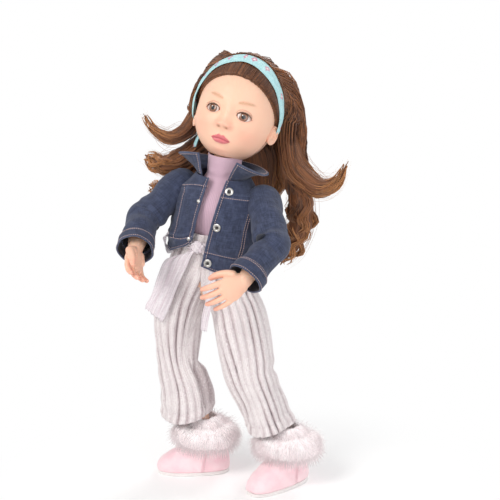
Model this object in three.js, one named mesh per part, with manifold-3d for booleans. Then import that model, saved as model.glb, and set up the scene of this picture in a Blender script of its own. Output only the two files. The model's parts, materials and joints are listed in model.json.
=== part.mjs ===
// Vinyl play doll about 50 cm tall, standing in mid stride, with jointed neck, arms and legs.
// Millimetres, +Z up, the floor is z = 0. The chest faces -Y and the doll's left is +X.
import * as THREE from 'three';
import { mergeVertices } from 'three/addons/utils/BufferGeometryUtils.js';
import Module from 'manifold-3d';

const wasm = await Module();
wasm.setup();

// Stance
const PELVIS_X = -7.5;
const PELVIS_Y = -1;
const TORSO_ROLL = 8.4;
const LEG_SWING = { right: 3, left: 6.5 };
const LEG_SPREAD = { right: -1.7, left: 21.5 };
const LEG_TURN = { right: -67, left: -32.5 };
const KNEE_BEND = { right: 20.6, left: 16.8 };
const FOOT_YAW = { right: -66, left: -25.5 };
const ARM_SWING = { right: 50, left: 48 };
const ARM_FLARE = { right: 23, left: 32 };
const ARM_TURN = { right: 72, left: 84 };
const ELBOW_BEND = { right: 42, left: 45 };
const HAND_CURL = { right: 2, left: 22 };
const HAND_LEAN = { right: -14, left: 5 };
const HEAD_TURN = 9;
const HEAD_NOD = -13;
const HEAD_TILT = 5;

// Clearances
const GAP = 0.35;
const RUN = 0.3;

// Torso
const HIP_HALF = 27;
const SHOULDER_HALF = 52;
const SHOULDER_Z = 102;
const NECK_R = 16;
const NECK_Z = 131;
const NOD_Z = 141;
const NECK_BALL_R = 14.5;
const TORSO_SIDES = 14;
// Stations of the torso: height above the hip axis, half width, half depth
const TORSO = [
  [-20, 6, 11], [-12, 12, 18], [0, 36, 27], [18, 41, 28], [46, 33, 24], [68, 37, 26],
  [89, 43, 28], [SHOULDER_Z, 41, 25], [112, 30, 20], [120, 19, 17], [126, NECK_R, NECK_R], [NECK_Z, NECK_R, NECK_R],
];

// Arms
const ARM_BALL_R = 12.5;
const ARM_CUP = 3.2;
const ARM_STUB_R = 4.5;
const ARM_STUB_END = 19;
const UPPER_ARM = 57;
const FOREARM = 54;
const ARM_R = 10.5;
const ELBOW_R = 9;
const WRIST_R = 7.5;
const ARM_TONGUE = 7;
const ARM_PIN_R = 2.5;
const PALM_L = 23;
const PALM_W = 26;
const PALM_T = 10;
const FINGER_L = 24;
const FINGER_R = 3.4;
const THUMB_L = 20;
const THUMB_R = 4;

// Legs
const LEG_BALL_R = 15.5;
const LEG_CUP = 3.2;
const LEG_STUB_R = 6.5;
const LEG_STUB_END = 25.5;
const CUP_RIM = 0.58;
const THIGH = 104;
const SHIN = 100;
const ANKLE_Z = 38;
const THIGH_R = 17;
const KNEE_R = 12.5;
const ANKLE_R = 11;
const LEG_TONGUE = 10;
const LEG_PIN_R = 3;

// Head
const HEAD_UP = 57;
const HEAD_W = 44;
const HEAD_FRONT = 45;
const HEAD_BACK = 47;
const SKULL_H = 58;
const JAW_H = 53;
const EYE_X = 18;
const EYE_Z = -3.5;
const EYE_R = 10.5;
const EYE_Y = -28;
const EYE_OPEN_W = 9.5;
const EYE_OPEN_H = 6;
const NOSE_Z = -16;
const NOSE_OUT = 8;
const MOUTH_Z = -33;
const LIP_OUT = 2.6;
const EAR_Y = 1;
const EAR_Z = -16;
const EAR_H = 12;

// Hair and headband
const HAIR_T = 4;
const CROWN_T = 10;
const BAND_FRONT = 26;
const BAND_T = 1.8;
const BAND_W = 10;
const BAND_LEAN = 23;
const BAND_OFF = 15.5;
const HAIRLINE_OFF = 5.3;
const HAIRLINE_LEAN = 43.8;

// Top, jacket and collar
const CLOTH_T = 1.3;
const TOP_HEM = 57;
const TOP_RISE = 137;
const JACKET_T = 1.7;
const JACKET_HEM = 24;
const JACKET_TOP = 127;
// Stations of the jacket's inner face: height, half width, half depth
const JACKET = [
  [JACKET_HEM, 56, 39], [56, 53, 38], [78, 51, 37], [95, 49, 34], [108, 44, 31],
  [118, 35, 28.5], [JACKET_TOP, 28, 26],
];
const HEM_TILT = 10;
const HEM_RISE = 5;
// Half widths of the front opening, the place of its middle at the hem, and its lean to the left
const OPENING_TOP = 10;
const OPENING_BOTTOM = 8;
const OPENING_SIDE = -7;
const OPENING_LEAN = 12;
// The right front's lower corner is turned up from here, by this slope
const CORNER_X = -40;
const CORNER_Z = 37;
const CORNER_SLOPE = 0.54;
const COLLAR_H = 14;
const COLLAR_POINT = 11;
const COLLAR_SPREAD = 27;
const COLLAR_FRONT = 19;
const SNAP_R = 4.6;
const SNAP_HOLE_R = 2;
const SNAP_H = 1.2;
const SNAP_Z = [34, 76, 116];
const STUD_R = 2.2;
const STUD_Z = [57, 100];
const SLEEVE_R = 19;
const CUFF_R = 19.5;
const CUFF_L = 13;
const SLEEVE_T = 1.6;

// Trousers and sash
const SEAT_T = 1.5;
const SEAT_EASE = 3;
const SEAT_TOP = 60;
const SEAT_LOW = -4;
const LEG_R = 28.5;
const FOLD_DEPTH = 1.8;
const FOLDS = 8;
const TROUSER_T = 1.3;
const HEM_R = 30;
const HEM_Z = 64;
const SASH_Z = 50;
const SASH_W = 9;
const SASH_T = 1;
const TAIL_WIDE = 26;
const TAIL_NARROW = 9;
const TAIL_WIDE_L = 70;
const TAIL_NARROW_L = 88;

// Boots
const SOLE_T = 4;
const TOE = 57;
const HEEL = 26;
const BOOT_HALF = 18;
const SHAFT_R = 18.5;
const SHAFT_TOP = 60;
const FUR_R = 39;
const FUR_LOW = 30;
const FUR_TOP = 63;

const materials = {
  vinyl: [0xf3c9ac, 0.5], eye: [0x8a8378, 0.15], hair: [0x6f4329, 0.55], band: [0x9fd6d8, 0.8],
  top: [0xc4a6bd, 0.85], denim: [0x36415f, 0.9], metal: [0xc9c7c2, 0.3], trousers: [0xd9ccd1, 0.8],
  sash: [0xe6dfe4, 0.6], boot: [0xf4c6d0, 0.85], sole: [0xf6f3f1, 0.6], fur: [0xfbeef0, 0.95], pin: [0xd8d4cf, 0.5],
};
for (const key of Object.keys(materials)) {
  const [color, roughness] = materials[key];
  materials[key] = new THREE.MeshStandardMaterial({ color, roughness, metalness: key === 'metal' ? 0.9 : 0 });
}

const V = (x, y, z) => new THREE.Vector3(x, y, z);
const rad = THREE.MathUtils.degToRad;
const turnX = (a) => new THREE.Quaternion().setFromAxisAngle(V(1, 0, 0), rad(a));
const turnY = (a) => new THREE.Quaternion().setFromAxisAngle(V(0, 1, 0), rad(a));
const turnZ = (a) => new THREE.Quaternion().setFromAxisAngle(V(0, 0, 1), rad(a));

// Closed bodies from points and triangles, facing outwards
function closed(points, triangles) {
  let volume = 0;
  for (const [a, b, c] of triangles) volume += points[a].dot(points[b].clone().cross(points[c]));
  const index = triangles.flatMap(([a, b, c]) => (volume < 0 ? [a, c, b] : [a, b, c]));
  const geometry = new THREE.BufferGeometry();
  geometry.setAttribute('position', new THREE.Float32BufferAttribute(points.flatMap((p) => [p.x, p.y, p.z]), 3));
  geometry.setIndex(index);
  return geometry;
}

function toSolid(geometry, matrix) {
  let g = geometry.clone();
  g.deleteAttribute('normal');
  g.deleteAttribute('uv');
  g = mergeVertices(g, 1e-4);
  if (matrix) g.applyMatrix4(matrix);
  const mesh = new wasm.Mesh({
    numProp: 3,
    vertProperties: new Float32Array(g.attributes.position.array),
    triVerts: new Uint32Array(g.index.array),
  });
  return new wasm.Manifold(mesh);
}

// The largest connected body of a solid, as a geometry
function toGeometry(solid) {
  const mesh = solid.getMesh();
  const count = mesh.vertProperties.length / mesh.numProp;
  const tri = mesh.triVerts;
  const root = Array.from({ length: count }, (_, i) => i);
  const find = (i) => {
    while (root[i] !== i) {
      root[i] = root[root[i]];
      i = root[i];
    }
    return i;
  };
  for (let t = 0; t < tri.length; t += 3) {
    root[find(tri[t])] = find(tri[t + 1]);
    root[find(tri[t + 1])] = find(tri[t + 2]);
  }
  const point = (i) => V(...mesh.vertProperties.slice(i * mesh.numProp, i * mesh.numProp + 3));
  const volume = new Map();
  for (let t = 0; t < tri.length; t += 3) {
    const part = point(tri[t]).dot(point(tri[t + 1]).cross(point(tri[t + 2])));
    const key = find(tri[t]);
    volume.set(key, (volume.get(key) ?? 0) + part);
  }
  const best = [...volume.entries()].sort((a, b) => b[1] - a[1])[0][0];
  const used = new Map();
  const points = [];
  const index = [];
  for (let t = 0; t < tri.length; t += 3) {
    if (find(tri[t]) !== best) continue;
    for (let k = 0; k < 3; k += 1) {
      const i = tri[t + k];
      if (!used.has(i)) {
        used.set(i, points.length);
        points.push(point(i));
      }
      index.push(used.get(i));
    }
  }
  const geometry = new THREE.BufferGeometry();
  geometry.setAttribute('position', new THREE.Float32BufferAttribute(points.flatMap((p) => [p.x, p.y, p.z]), 3));
  geometry.setIndex(index);
  return geometry;
}

// Rings of equal count joined into one closed body
function ringLoft(rings) {
  const n = rings[0].length;
  const points = rings.flat();
  const triangles = [];
  for (let r = 0; r + 1 < rings.length; r += 1) {
    for (let i = 0; i < n; i += 1) {
      const a = r * n + i;
      const b = r * n + ((i + 1) % n);
      triangles.push([a, b, b + n], [a, b + n, a + n]);
    }
  }
  for (const [base, flip] of [[0, true], [(rings.length - 1) * n, false]]) {
    const centre = points.slice(base, base + n).reduce((s, p) => s.add(p), V(0, 0, 0)).divideScalar(n);
    points.push(centre);
    for (let i = 0; i < n; i += 1) {
      const a = base + i;
      const b = base + ((i + 1) % n);
      triangles.push(flip ? [b, a, points.length - 1] : [a, b, points.length - 1]);
    }
  }
  return closed(points, triangles);
}

// A rounded rectangle to ellipse outline at one height
function outline(z, rx, ry, sides, cx = 0, cy = 0, power = 2.3) {
  const ring = [];
  for (let i = 0; i < sides; i += 1) {
    const a = (2 * Math.PI * i) / sides;
    const c = Math.cos(a);
    const s = Math.sin(a);
    const k = (Math.abs(c) ** power + Math.abs(s) ** power) ** (-1 / power);
    ring.push(V(cx + rx * k * c, cy + ry * k * s, z));
  }
  return ring;
}

// Stations (height, half width, half depth) read at any height
function station(table, z) {
  let i = 0;
  while (i < table.length - 2 && z > table[i + 1][0]) i += 1;
  const [a, b] = [table[i], table[i + 1]];
  const t = THREE.MathUtils.clamp((z - a[0]) / (b[0] - a[0]), 0, 1);
  return [a[1] + t * (b[1] - a[1]), a[2] + t * (b[2] - a[2])];
}

function stacked(table, grow, sides, power, rise = grow) {
  return ringLoft(table.map(([z, rx, ry], i) => {
    const shift = i === 0 ? -rise : i === table.length - 1 ? rise : 0;
    return outline(z + shift, rx + grow, ry + grow, sides, 0, 0, power);
  }));
}

// A cloth of even thickness over a surface point(u, v); wrap closes it round in u
function cloth(point, nu, nv, thick, wrap) {
  const cols = wrap ? nu : nu + 1;
  const points = [];
  const step = 1e-3;
  for (const side of [0.5, -0.5]) {
    for (let j = 0; j <= nv; j += 1) {
      for (let i = 0; i < cols; i += 1) {
        const u = i / nu;
        const v = j / nv;
        const du = point(u + step, v).sub(point(u - step, v));
        const dv = point(u, v + step).sub(point(u, v - step));
        points.push(point(u, v).addScaledVector(du.cross(dv).normalize(), side * thick));
      }
    }
  }
  const layer = cols * (nv + 1);
  const triangles = [];
  for (let j = 0; j < nv; j += 1) {
    for (let i = 0; i < nu; i += 1) {
      const a = j * cols + i;
      const b = j * cols + ((i + 1) % cols);
      triangles.push([a, b, b + cols], [a, b + cols, a + cols]);
      triangles.push([layer + b, layer + a, layer + b + cols], [layer + b + cols, layer + a, layer + a + cols]);
    }
  }
  for (let i = 0; i < nu; i += 1) {
    const i2 = (i + 1) % cols;
    const top = nv * cols;
    triangles.push([i2, i, layer + i], [i2, layer + i, layer + i2]);
    triangles.push([top + i, top + i2, layer + top + i], [top + i2, layer + top + i2, layer + top + i]);
  }
  if (!wrap) {
    for (let j = 0; j < nv; j += 1) {
      const [a, b] = [j * cols, (j + 1) * cols];
      const [c, d] = [a + nu, b + nu];
      triangles.push([a, b, layer + a], [b, layer + b, layer + a]);
      triangles.push([d, c, layer + c], [d, layer + c, layer + d]);
    }
  }
  return closed(points, triangles);
}

// A round-ended body along a path; each radius is a number or [side, other side]
function limb(path, radii, sides, side = V(1, 0, 0)) {
  const rings = [];
  let a = side.clone();
  for (let i = 0; i < path.length; i += 1) {
    const ahead = path[Math.min(i + 1, path.length - 1)];
    const behind = path[Math.max(i - 1, 0)];
    const axis = ahead.clone().sub(behind).normalize();
    a = a.clone().addScaledVector(axis, -a.dot(axis)).normalize();
    const b = axis.clone().cross(a);
    const [ra, rb] = Array.isArray(radii[i]) ? radii[i] : [radii[i], radii[i]];
    const ring = [];
    for (let k = 0; k < sides; k += 1) {
      const t = (2 * Math.PI * k) / sides;
      ring.push(path[i].clone().addScaledVector(a, ra * Math.cos(t)).addScaledVector(b, rb * Math.sin(t)));
    }
    rings.push(ring);
  }
  return ringLoft(rings);
}

// A sphere's facets lie inside it, so a round hollow is cut this much larger
const FACET = 1 / Math.cos(Math.PI / 12) ** 2;
const sphere = (r, x = 0, y = 0, z = 0, w = 12, h = 6) => new THREE.SphereGeometry(r, w, h).translate(x, y, z);

function rod(r, from, to, axis = 'x', sides = 12) {
  const g = new THREE.CylinderGeometry(r, r, to - from, sides).translate(0, (from + to) / 2, 0);
  if (axis === 'x') g.rotateZ(-Math.PI / 2);
  if (axis === 'z') g.rotateX(Math.PI / 2);
  return g;
}

const box = (w, d, h, x, y, z) => new THREE.BoxGeometry(w, d, h).translate(x, y, z);

// Frames: nested groups, one for each moving body
const doll = new THREE.Group();
const frames = {};
function frame(name, parent, position, rotation) {
  const g = new THREE.Group();
  g.name = name;
  g.position.copy(position);
  g.quaternion.copy(rotation);
  (parent ? frames[parent] : doll).add(g);
  frames[name] = g;
  doll.updateMatrixWorld(true);
  return g;
}
const world = (name) => frames[name].matrixWorld;
const SIDES = { right: -1, left: 1 };

frame('torso', null, V(PELVIS_X, PELVIS_Y, 0), turnY(TORSO_ROLL));
frame('neck', 'torso', V(0, 0, NECK_Z), turnZ(HEAD_TURN));
frame('head', 'neck', V(0, 0, NOD_Z - NECK_Z), turnX(HEAD_NOD).multiply(turnY(HEAD_TILT)));
for (const [name, s] of Object.entries(SIDES)) {
  frame(`hip_${name}`, 'torso', V(s * HIP_HALF, 0, 0), turnX(-LEG_SWING[name]));
  frame(`thigh_${name}`, `hip_${name}`, V(0, 0, 0), turnY(-s * LEG_SPREAD[name]).multiply(turnZ(LEG_TURN[name])));
  frame(`shin_${name}`, `thigh_${name}`, V(0, 0, -THIGH), turnX(KNEE_BEND[name]));
  frame(`shoulder_${name}`, 'torso', V(s * SHOULDER_HALF, 0, SHOULDER_Z), turnX(-ARM_SWING[name]));
  frame(`arm_${name}`, `shoulder_${name}`, V(0, 0, 0), turnY(-s * ARM_FLARE[name]).multiply(turnZ(-s * ARM_TURN[name])));
  frame(`forearm_${name}`, `arm_${name}`, V(0, 0, -UPPER_ARM), turnX(-ELBOW_BEND[name]));
}

// Both feet stand on the floor: the pelvis height comes from the right leg, the left leg's spread from the left
const ankle = (name) => V(0, 0, -SHIN).applyMatrix4(world(`shin_${name}`));
frames.torso.position.z += ANKLE_Z - ankle('right').z;
doll.updateMatrixWorld(true);
let low = 0;
let high = 60;
for (let i = 0; i < 40; i += 1) {
  const middle = (low + high) / 2;
  frames.thigh_left.quaternion.copy(turnY(-middle).multiply(turnZ(LEG_TURN.left)));
  doll.updateMatrixWorld(true);
  if (ankle('left').z < ANKLE_Z) low = middle;
  else high = middle;
}
const upright = new THREE.Quaternion();
for (const name of Object.keys(SIDES)) {
  frames[`shin_${name}`].getWorldQuaternion(upright);
  const foot = frame(`foot_${name}`, `shin_${name}`, V(0, 0, -SHIN), upright.clone().invert().multiply(turnZ(FOOT_YAW[name])));
  foot.translateZ(-ANKLE_Z);
}
doll.updateMatrixWorld(true);

const place = (name, geometry) => toSolid(geometry, world(name));
const nodes = [];
function add(group, name, solid, material) {
  nodes.push({ group, name, solid, material });
}

// Hard body
const torsoForm = (grow) => place('torso', stacked(TORSO, grow, TORSO_SIDES, 2.3));
let torso = torsoForm(0);
for (const [name, s] of Object.entries(SIDES)) {
  const hip = V(s * HIP_HALF, 0, 0);
  const shoulder = V(s * SHOULDER_HALF, 0, SHOULDER_Z);
  torso = torso.subtract(place('torso', sphere((LEG_BALL_R + LEG_CUP + RUN) * FACET, hip.x, 0, 0)));
  // Room for the thigh to swing and spread
  const swingRoom = [[1.1, 1.22], [1.75, 2.55]].map((pair) => pair.map((k) => k * (LEG_BALL_R + LEG_CUP)));
  torso = torso.subtract(place('torso', limb([V(hip.x, 0, LEG_CUP), V(hip.x * 1.05, 0, -LEG_STUB_END * 1.75)], swingRoom, 12)));
  torso = torso.subtract(place('torso', sphere((ARM_BALL_R + ARM_CUP + RUN) * FACET, shoulder.x, 0, shoulder.z)));
  const hipStub = (r, end) => toSolid(rod(r, s < 0 ? 0 : -end, s < 0 ? end : 0, 'x'), world(`hip_${name}`));
  const armStub = (r, end) => toSolid(rod(r, s < 0 ? 0 : -end, s < 0 ? end : 0, 'x'), world(`shoulder_${name}`));
  torso = torso.subtract(hipStub(LEG_STUB_R + RUN, LEG_STUB_END + RUN));
  torso = torso.subtract(armStub(ARM_STUB_R + RUN, ARM_STUB_END + RUN));
  const hipHub = place(`hip_${name}`, sphere(LEG_BALL_R)).add(hipStub(LEG_STUB_R, LEG_STUB_END));
  const armHub = place(`shoulder_${name}`, sphere(ARM_BALL_R)).add(armStub(ARM_STUB_R, ARM_STUB_END));
  add(`hip_${name}`, `hip_hub_${name}`, hipHub, materials.vinyl);
  add(`shoulder_${name}`, `shoulder_hub_${name}`, armHub, materials.vinyl);
}
add('torso', 'torso_shell', torso, materials.vinyl);

// Neck piece: a round foot on the neck post and the ball that the head nods on
const neckPiece = place('neck', rod(NECK_R - 1.5, RUN, NOD_Z - NECK_Z - 6, 'z', 16))
  .add(place('neck', sphere(NECK_BALL_R, 0, 0, NOD_Z - NECK_Z, 16, 8)))
  .subtract(place('neck', box(60, 60, 30, 0, 0, RUN - 15)));
add('neck', 'neck_ball', neckPiece, materials.vinyl);

// Head surface: lon from the face round, lat from the jaw up
const bump = (x, z, cx, cz, sx, sz) => Math.exp(-(((x - cx) / sx) ** 2 + ((z - cz) / sz) ** 2) / 2);
function headPoint(lon, lat, grow) {
  const d = V(Math.sin(lon) * Math.cos(lat), -Math.cos(lon) * Math.cos(lat), Math.sin(lat));
  const tall = d.z > 0 ? SKULL_H : JAW_H;
  const deep = d.y < 0 ? HEAD_FRONT : HEAD_BACK;
  // The lower half is fuller than an ellipsoid, for round cheeks and jaw
  const power = d.z > 0 ? 2 : 2 + 0.45 * Math.min(1, -3 * d.z);
  const k = (Math.abs(d.x) ** power + Math.abs(d.y) ** power + Math.abs(d.z) ** power) ** (-1 / power);
  const p = V((HEAD_W + grow) * k * d.x, (deep + grow) * k * d.y, (tall + grow) * k * d.z);
  const jaw = Math.max(0, -p.z / JAW_H);
  p.x *= 1 - 0.1 * jaw ** 2.2;
  p.y += d.y > 0 ? -10 * jaw : 0;
  if (d.y < 0) {
    const front = Math.min(1, -d.y * 1.6);
    let out = 2.5 * bump(Math.abs(p.x), p.z, 25, -19, 13, 14);
    out += NOSE_OUT * bump(p.x, p.z, 0, NOSE_Z, 3.6, 4.2) + 3 * bump(p.x, p.z, 0, NOSE_Z + 10, 3.6, 8);
    out += 2 * bump(Math.abs(p.x), p.z, 5, NOSE_Z - 1, 2.2, 2.6);
    out += LIP_OUT * bump(p.x, p.z, 0, MOUTH_Z + 1.6, 7, 2.2) + LIP_OUT * bump(p.x, p.z, 0, MOUTH_Z - 3, 5.5, 2.4);
    out += 3.5 * bump(p.x, p.z, 0, MOUTH_Z - 13, 9, 6);
    out -= 2 * bump(Math.abs(p.x), p.z, EYE_X, EYE_Z, 9, 6);
    out += 3 * bump(p.x, p.z, 0, 24, 22, 16);
    p.y -= out * front;
  }
  return p;
}

function headForm(grow, cols = 24, rows = 16) {
  const rings = [];
  for (let j = 1; j < rows; j += 1) {
    const lat = -Math.PI / 2 + (Math.PI * j) / rows;
    const ring = [];
    for (let i = 0; i < cols; i += 1) {
      // Columns are closer together round the face
      const t = (2 * i) / cols - 1;
      ring.push(headPoint(Math.PI * (0.45 * t + 0.55 * t ** 3), lat, grow));
    }
    rings.push(ring);
  }
  return place('head', ringLoft(rings).translate(0, 0, HEAD_UP));
}

const inHead = (geometry) => place('head', geometry.translate(0, 0, HEAD_UP));
function ear(s, grow) {
  const g = sphere(1, 0, 0, 0, 10, 8).scale(4.2 + grow, 8 + grow, EAR_H + grow);
  return inHead(g.rotateX(rad(-8)).rotateZ(rad(s * 22)).translate(s * (HEAD_W + 0.5), EAR_Y, EAR_Z));
}
const socket = inHead(sphere((NECK_BALL_R + RUN) * FACET, 0, 0, -HEAD_UP, 16, 8));
const throat = inHead(new THREE.CylinderGeometry(NECK_BALL_R, NECK_R + 9, 22, 16).rotateX(Math.PI / 2)
  .translate(0, 0, -HEAD_UP - 11));
let head = headForm(0);
for (const s of [-1, 1]) {
  const bowl = inHead(sphere(1, 0, 0, 0, 8, 6).scale(2.6, 4.6, 7.5).rotateZ(rad(s * 22))
    .translate(s * (HEAD_W + 4.4), EAR_Y - 1, EAR_Z + 1));
  head = head.add(ear(s, 0).subtract(bowl));
}
for (const s of [-1, 1]) {
  const opening = inHead(new THREE.CylinderGeometry(1, 1, 40, 12).scale(EYE_OPEN_W, 1, EYE_OPEN_H)
    .translate(s * EYE_X, EYE_Y - 14, EYE_Z));
  head = head.subtract(inHead(sphere(EYE_R + GAP, s * EYE_X, EYE_Y, EYE_Z, 12, 8)));
  head = head.subtract(opening);
  add('head', s < 0 ? 'eye_right' : 'eye_left', inHead(sphere(EYE_R, s * EYE_X, EYE_Y, EYE_Z, 12, 8)), materials.eye);
}
head = head.subtract(socket).subtract(throat);
add('head', 'head_shell', head, materials.vinyl);

// Hair cap behind the hairline, split by the headband's groove
const bandSlab = (half) => inHead(box(220, 2 * half, 220, 0, BAND_OFF, 0).rotateX(rad(BAND_LEAN)));
const behindHairline = (shift) => inHead(
  box(220, 200, 220, 0, -100 - HAIRLINE_OFF - shift, 0).rotateX(rad(HAIRLINE_LEAN)));
const ears = (grow) => ear(-1, grow).add(ear(1, grow));
const capForm = (grow) => headForm(HAIR_T + grow, 20, 12).subtract(behindHairline(grow));
const cap = capForm(0).subtract(headForm(GAP)).subtract(ears(GAP))
  .subtract(inHead(box(200, 200, 60, 0, 0, -JAW_H - 8)));
add('head', 'wig_cap', cap, materials.hair);
const bandForm = (grow) => headForm(HAIR_T + GAP + BAND_T + grow, 20, 12).intersect(bandSlab(BAND_W / 2 + grow));
const band = bandForm(0).subtract(headForm(HAIR_T + GAP, 20, 12));
add('head', 'headband', band, materials.band);

// The fuller hair behind the band
const behindBand = inHead(box(220, 120, 240, 0, BAND_OFF + BAND_W / 2 + GAP + 60, 0).rotateX(rad(BAND_LEAN)));
const crownForm = (grow) => headForm(CROWN_T + grow, 20, 12).intersect(behindBand);
const crown = crownForm(0).subtract(headForm(HAIR_T + GAP, 20, 12)).subtract(ears(GAP))
  .subtract(inHead(box(200, 200, 60, 0, 0, -JAW_H + 4)));
add('head', 'hair_crown', crown, materials.hair);

// Arms
function elbowFork(length, r, tongue) {
  return box(tongue + 2 * RUN, 60, 60, 0, 0, -length - 30 + r + 1.2);
}
function handForm(side, grow) {
  const s = SIDES[side];
  const curl = turnX(-HAND_CURL[side]).multiply(turnY(HAND_LEAN[side]));
  const start = -FOREARM;
  const at = (x, y, z) => V(x, y, z).applyQuaternion(curl).add(V(0, 0, start));
  const palm = limb(
    [at(0, 0, 6), at(0, 0, 0), at(0, 0, -PALM_L * 0.35), at(0, 0, -PALM_L * 0.8), at(0, -1, -PALM_L - 2)],
    [[WRIST_R, WRIST_R], [WRIST_R + 0.5, WRIST_R - 1], [PALM_W / 2 - 1, PALM_T / 2 + 1], [PALM_W / 2, PALM_T / 2],
      [PALM_W / 2 - 2, PALM_T / 2 - 1.2]].map(([a, b]) => [a + grow, b + grow]), 10);
  let hand = place(`forearm_${side}`, palm);
  for (let i = 0; i < 4; i += 1) {
    const x = (i - 1.5) * (PALM_W / 4.15);
    const long = FINGER_L * [0.86, 1, 0.96, 0.74][s > 0 ? 3 - i : i];
    const bend = 0.16 + 0.05 * i;
    const path = [0, 0.4, 0.8, 1].map((t) => at(x * (1 + 0.1 * t), -long * bend * t * t * 1.6, -PALM_L + 3 - long * t));
    const r = [1, 0.98, 0.85, 0.4].map((k) => FINGER_R * k + grow);
    hand = hand.add(place(`forearm_${side}`, limb(path, r, 5)));
  }
  const t0 = at(s * (PALM_W / 2 - 4), -1, -5);
  const out = V(s * 0.5, -0.55, -0.67).normalize().applyQuaternion(curl);
  const thumb = [0, 0.4, 0.8, 1].map((t) => t0.clone().addScaledVector(out, THUMB_L * t));
  const tr = [1, 1.05, 0.85, 0.4].map((k) => THUMB_R * k + grow);
  return hand.add(place(`forearm_${side}`, limb(thumb, tr, 5, V(0, 1, 0))));
}
function upperArmForm(side, grow) {
  const cup = ARM_BALL_R + ARM_CUP;
  const path = [1, -4, -10, -18, -34, -UPPER_ARM + 6, -UPPER_ARM, -UPPER_ARM - ELBOW_R + 2, -UPPER_ARM - ELBOW_R];
  const r = [cup, cup - 0.4, cup - 2.5, ARM_R + 1, ARM_R, ELBOW_R + 0.6, ELBOW_R + 0.5, ELBOW_R - 3, 3];
  return place(`arm_${side}`, limb(path.map((z) => V(0, 0, z)), r.map((k) => k + grow), 12));
}
for (const [side, s] of Object.entries(SIDES)) {
  let arm = upperArmForm(side, 0)
    .subtract(place(`arm_${side}`, sphere((ARM_BALL_R + RUN) * FACET)))
    .subtract(place(`arm_${side}`, box(60, 60, 30, 0, 0, 15 - CUP_RIM * ARM_BALL_R)))
    .subtract(place(`arm_${side}`, elbowFork(UPPER_ARM, ELBOW_R, ARM_TONGUE)));
  const pin = (r, half) => place(`arm_${side}`, rod(r, -half, half, 'x', 8).translate(0, 0, -UPPER_ARM));
  arm = arm.subtract(pin(ARM_PIN_R + RUN, 30));
  add(`arm_${side}`, `upper_arm_${side}`, arm, materials.vinyl);
  add(`arm_${side}`, `elbow_pin_${side}`, pin(ARM_PIN_R, ELBOW_R - 1), materials.pin);
  const tongue = place(`forearm_${side}`, rod(ELBOW_R, -ARM_TONGUE / 2, ARM_TONGUE / 2, 'x', 12))
    .add(place(`forearm_${side}`, box(ARM_TONGUE, 9, 20, 0, 0, -10)));
  const shaft = place(`forearm_${side}`, limb([-13, -17, -30, -FOREARM + 8, -FOREARM - 1].map((z) => V(0, 0, z)),
    [6, ARM_R - 0.5, ARM_R - 0.5, WRIST_R + 0.6, WRIST_R], 12));
  const forearm = tongue.add(shaft).add(handForm(side, 0)).subtract(pin(ARM_PIN_R + RUN, 30));
  add(`forearm_${side}`, `forearm_hand_${side}`, forearm, materials.vinyl);
}

// Legs and boots
const legAxis = (values) => values.map((z) => V(0, 0, z));
function thighForm(side, grow) {
  const cup = LEG_BALL_R + LEG_CUP;
  return place(`thigh_${side}`, limb(
    legAxis([1, -5, -14, -30, -60, -THIGH + 8, -THIGH, -THIGH - KNEE_R + 3, -THIGH - KNEE_R]),
    [cup, cup - 0.3, cup - 0.6, THIGH_R, THIGH_R - 2.5, KNEE_R + 0.8, KNEE_R + 0.5, KNEE_R - 4, 3].map((k) => k + grow), 12));
}
function shinForm(side, grow) {
  return place(`shin_${side}`, limb(
    legAxis([-16, -22, -40, -64, -SHIN + 8, -SHIN - 2, -SHIN - 10]),
    [8, KNEE_R + 0.5, KNEE_R + 1.5, ANKLE_R + 1, ANKLE_R, ANKLE_R - 1, ANKLE_R - 5].map((k) => k + grow), 12));
}
const bootSection = (z, toe, heel, half, power, grow) =>
  outline(z, half + grow, (toe + heel) / 2 + grow, 20, 0, (heel - toe) / 2, power);
function bootForm(side, grow) {
  const z0 = SOLE_T + RUN - grow;
  const k = BOOT_HALF / 3;
  return place(`foot_${side}`, ringLoft([
    bootSection(z0, TOE - 0.25 * k, HEEL - 0.25 * k, BOOT_HALF - 0.17 * k, 2.5, grow),
    bootSection(z0 + k, TOE - 0.08 * k, HEEL - 0.08 * k, BOOT_HALF - 0.05 * k, 2.4, grow),
    bootSection(z0 + 2.2 * k, TOE - 0.5 * k, HEEL - 0.13 * k, BOOT_HALF - 0.1 * k, 2.3, grow),
    bootSection(z0 + 3.2 * k, TOE - 2 * k, HEEL - 0.25 * k, BOOT_HALF - 0.2 * k, 2.2, grow),
    bootSection(z0 + 4 * k, TOE - 4.2 * k, HEEL - 0.33 * k, SHAFT_R - 0.08 * k, 2.1, grow),
    bootSection(z0 + 5.2 * k, SHAFT_R + 0.5 * k, HEEL - 0.5 * k, SHAFT_R, 2, grow),
    bootSection(SHAFT_TOP + grow, SHAFT_R + 0.17 * k, SHAFT_R + 0.5 * k, SHAFT_R, 2, grow),
  ]));
}
const FUR_STEPS = 8;
function furForm(side, grow) {
  const profile = [];
  const middle = (FUR_LOW + FUR_TOP) / 2;
  const half = (FUR_TOP - FUR_LOW) / 2;
  const inner = SHAFT_R + 4;
  for (let i = 0; i <= FUR_STEPS; i += 1) {
    const t = (2 * Math.PI * (i % FUR_STEPS)) / FUR_STEPS;
    const r = (inner + FUR_R) / 2 + ((FUR_R - inner) / 2 + grow) * Math.cos(t);
    profile.push(new THREE.Vector2(r, middle + (half + grow) * Math.sin(t)));
  }
  return place(`foot_${side}`, new THREE.LatheGeometry(profile, 15).rotateX(Math.PI / 2));
}
const heelBoots = {};
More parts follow.
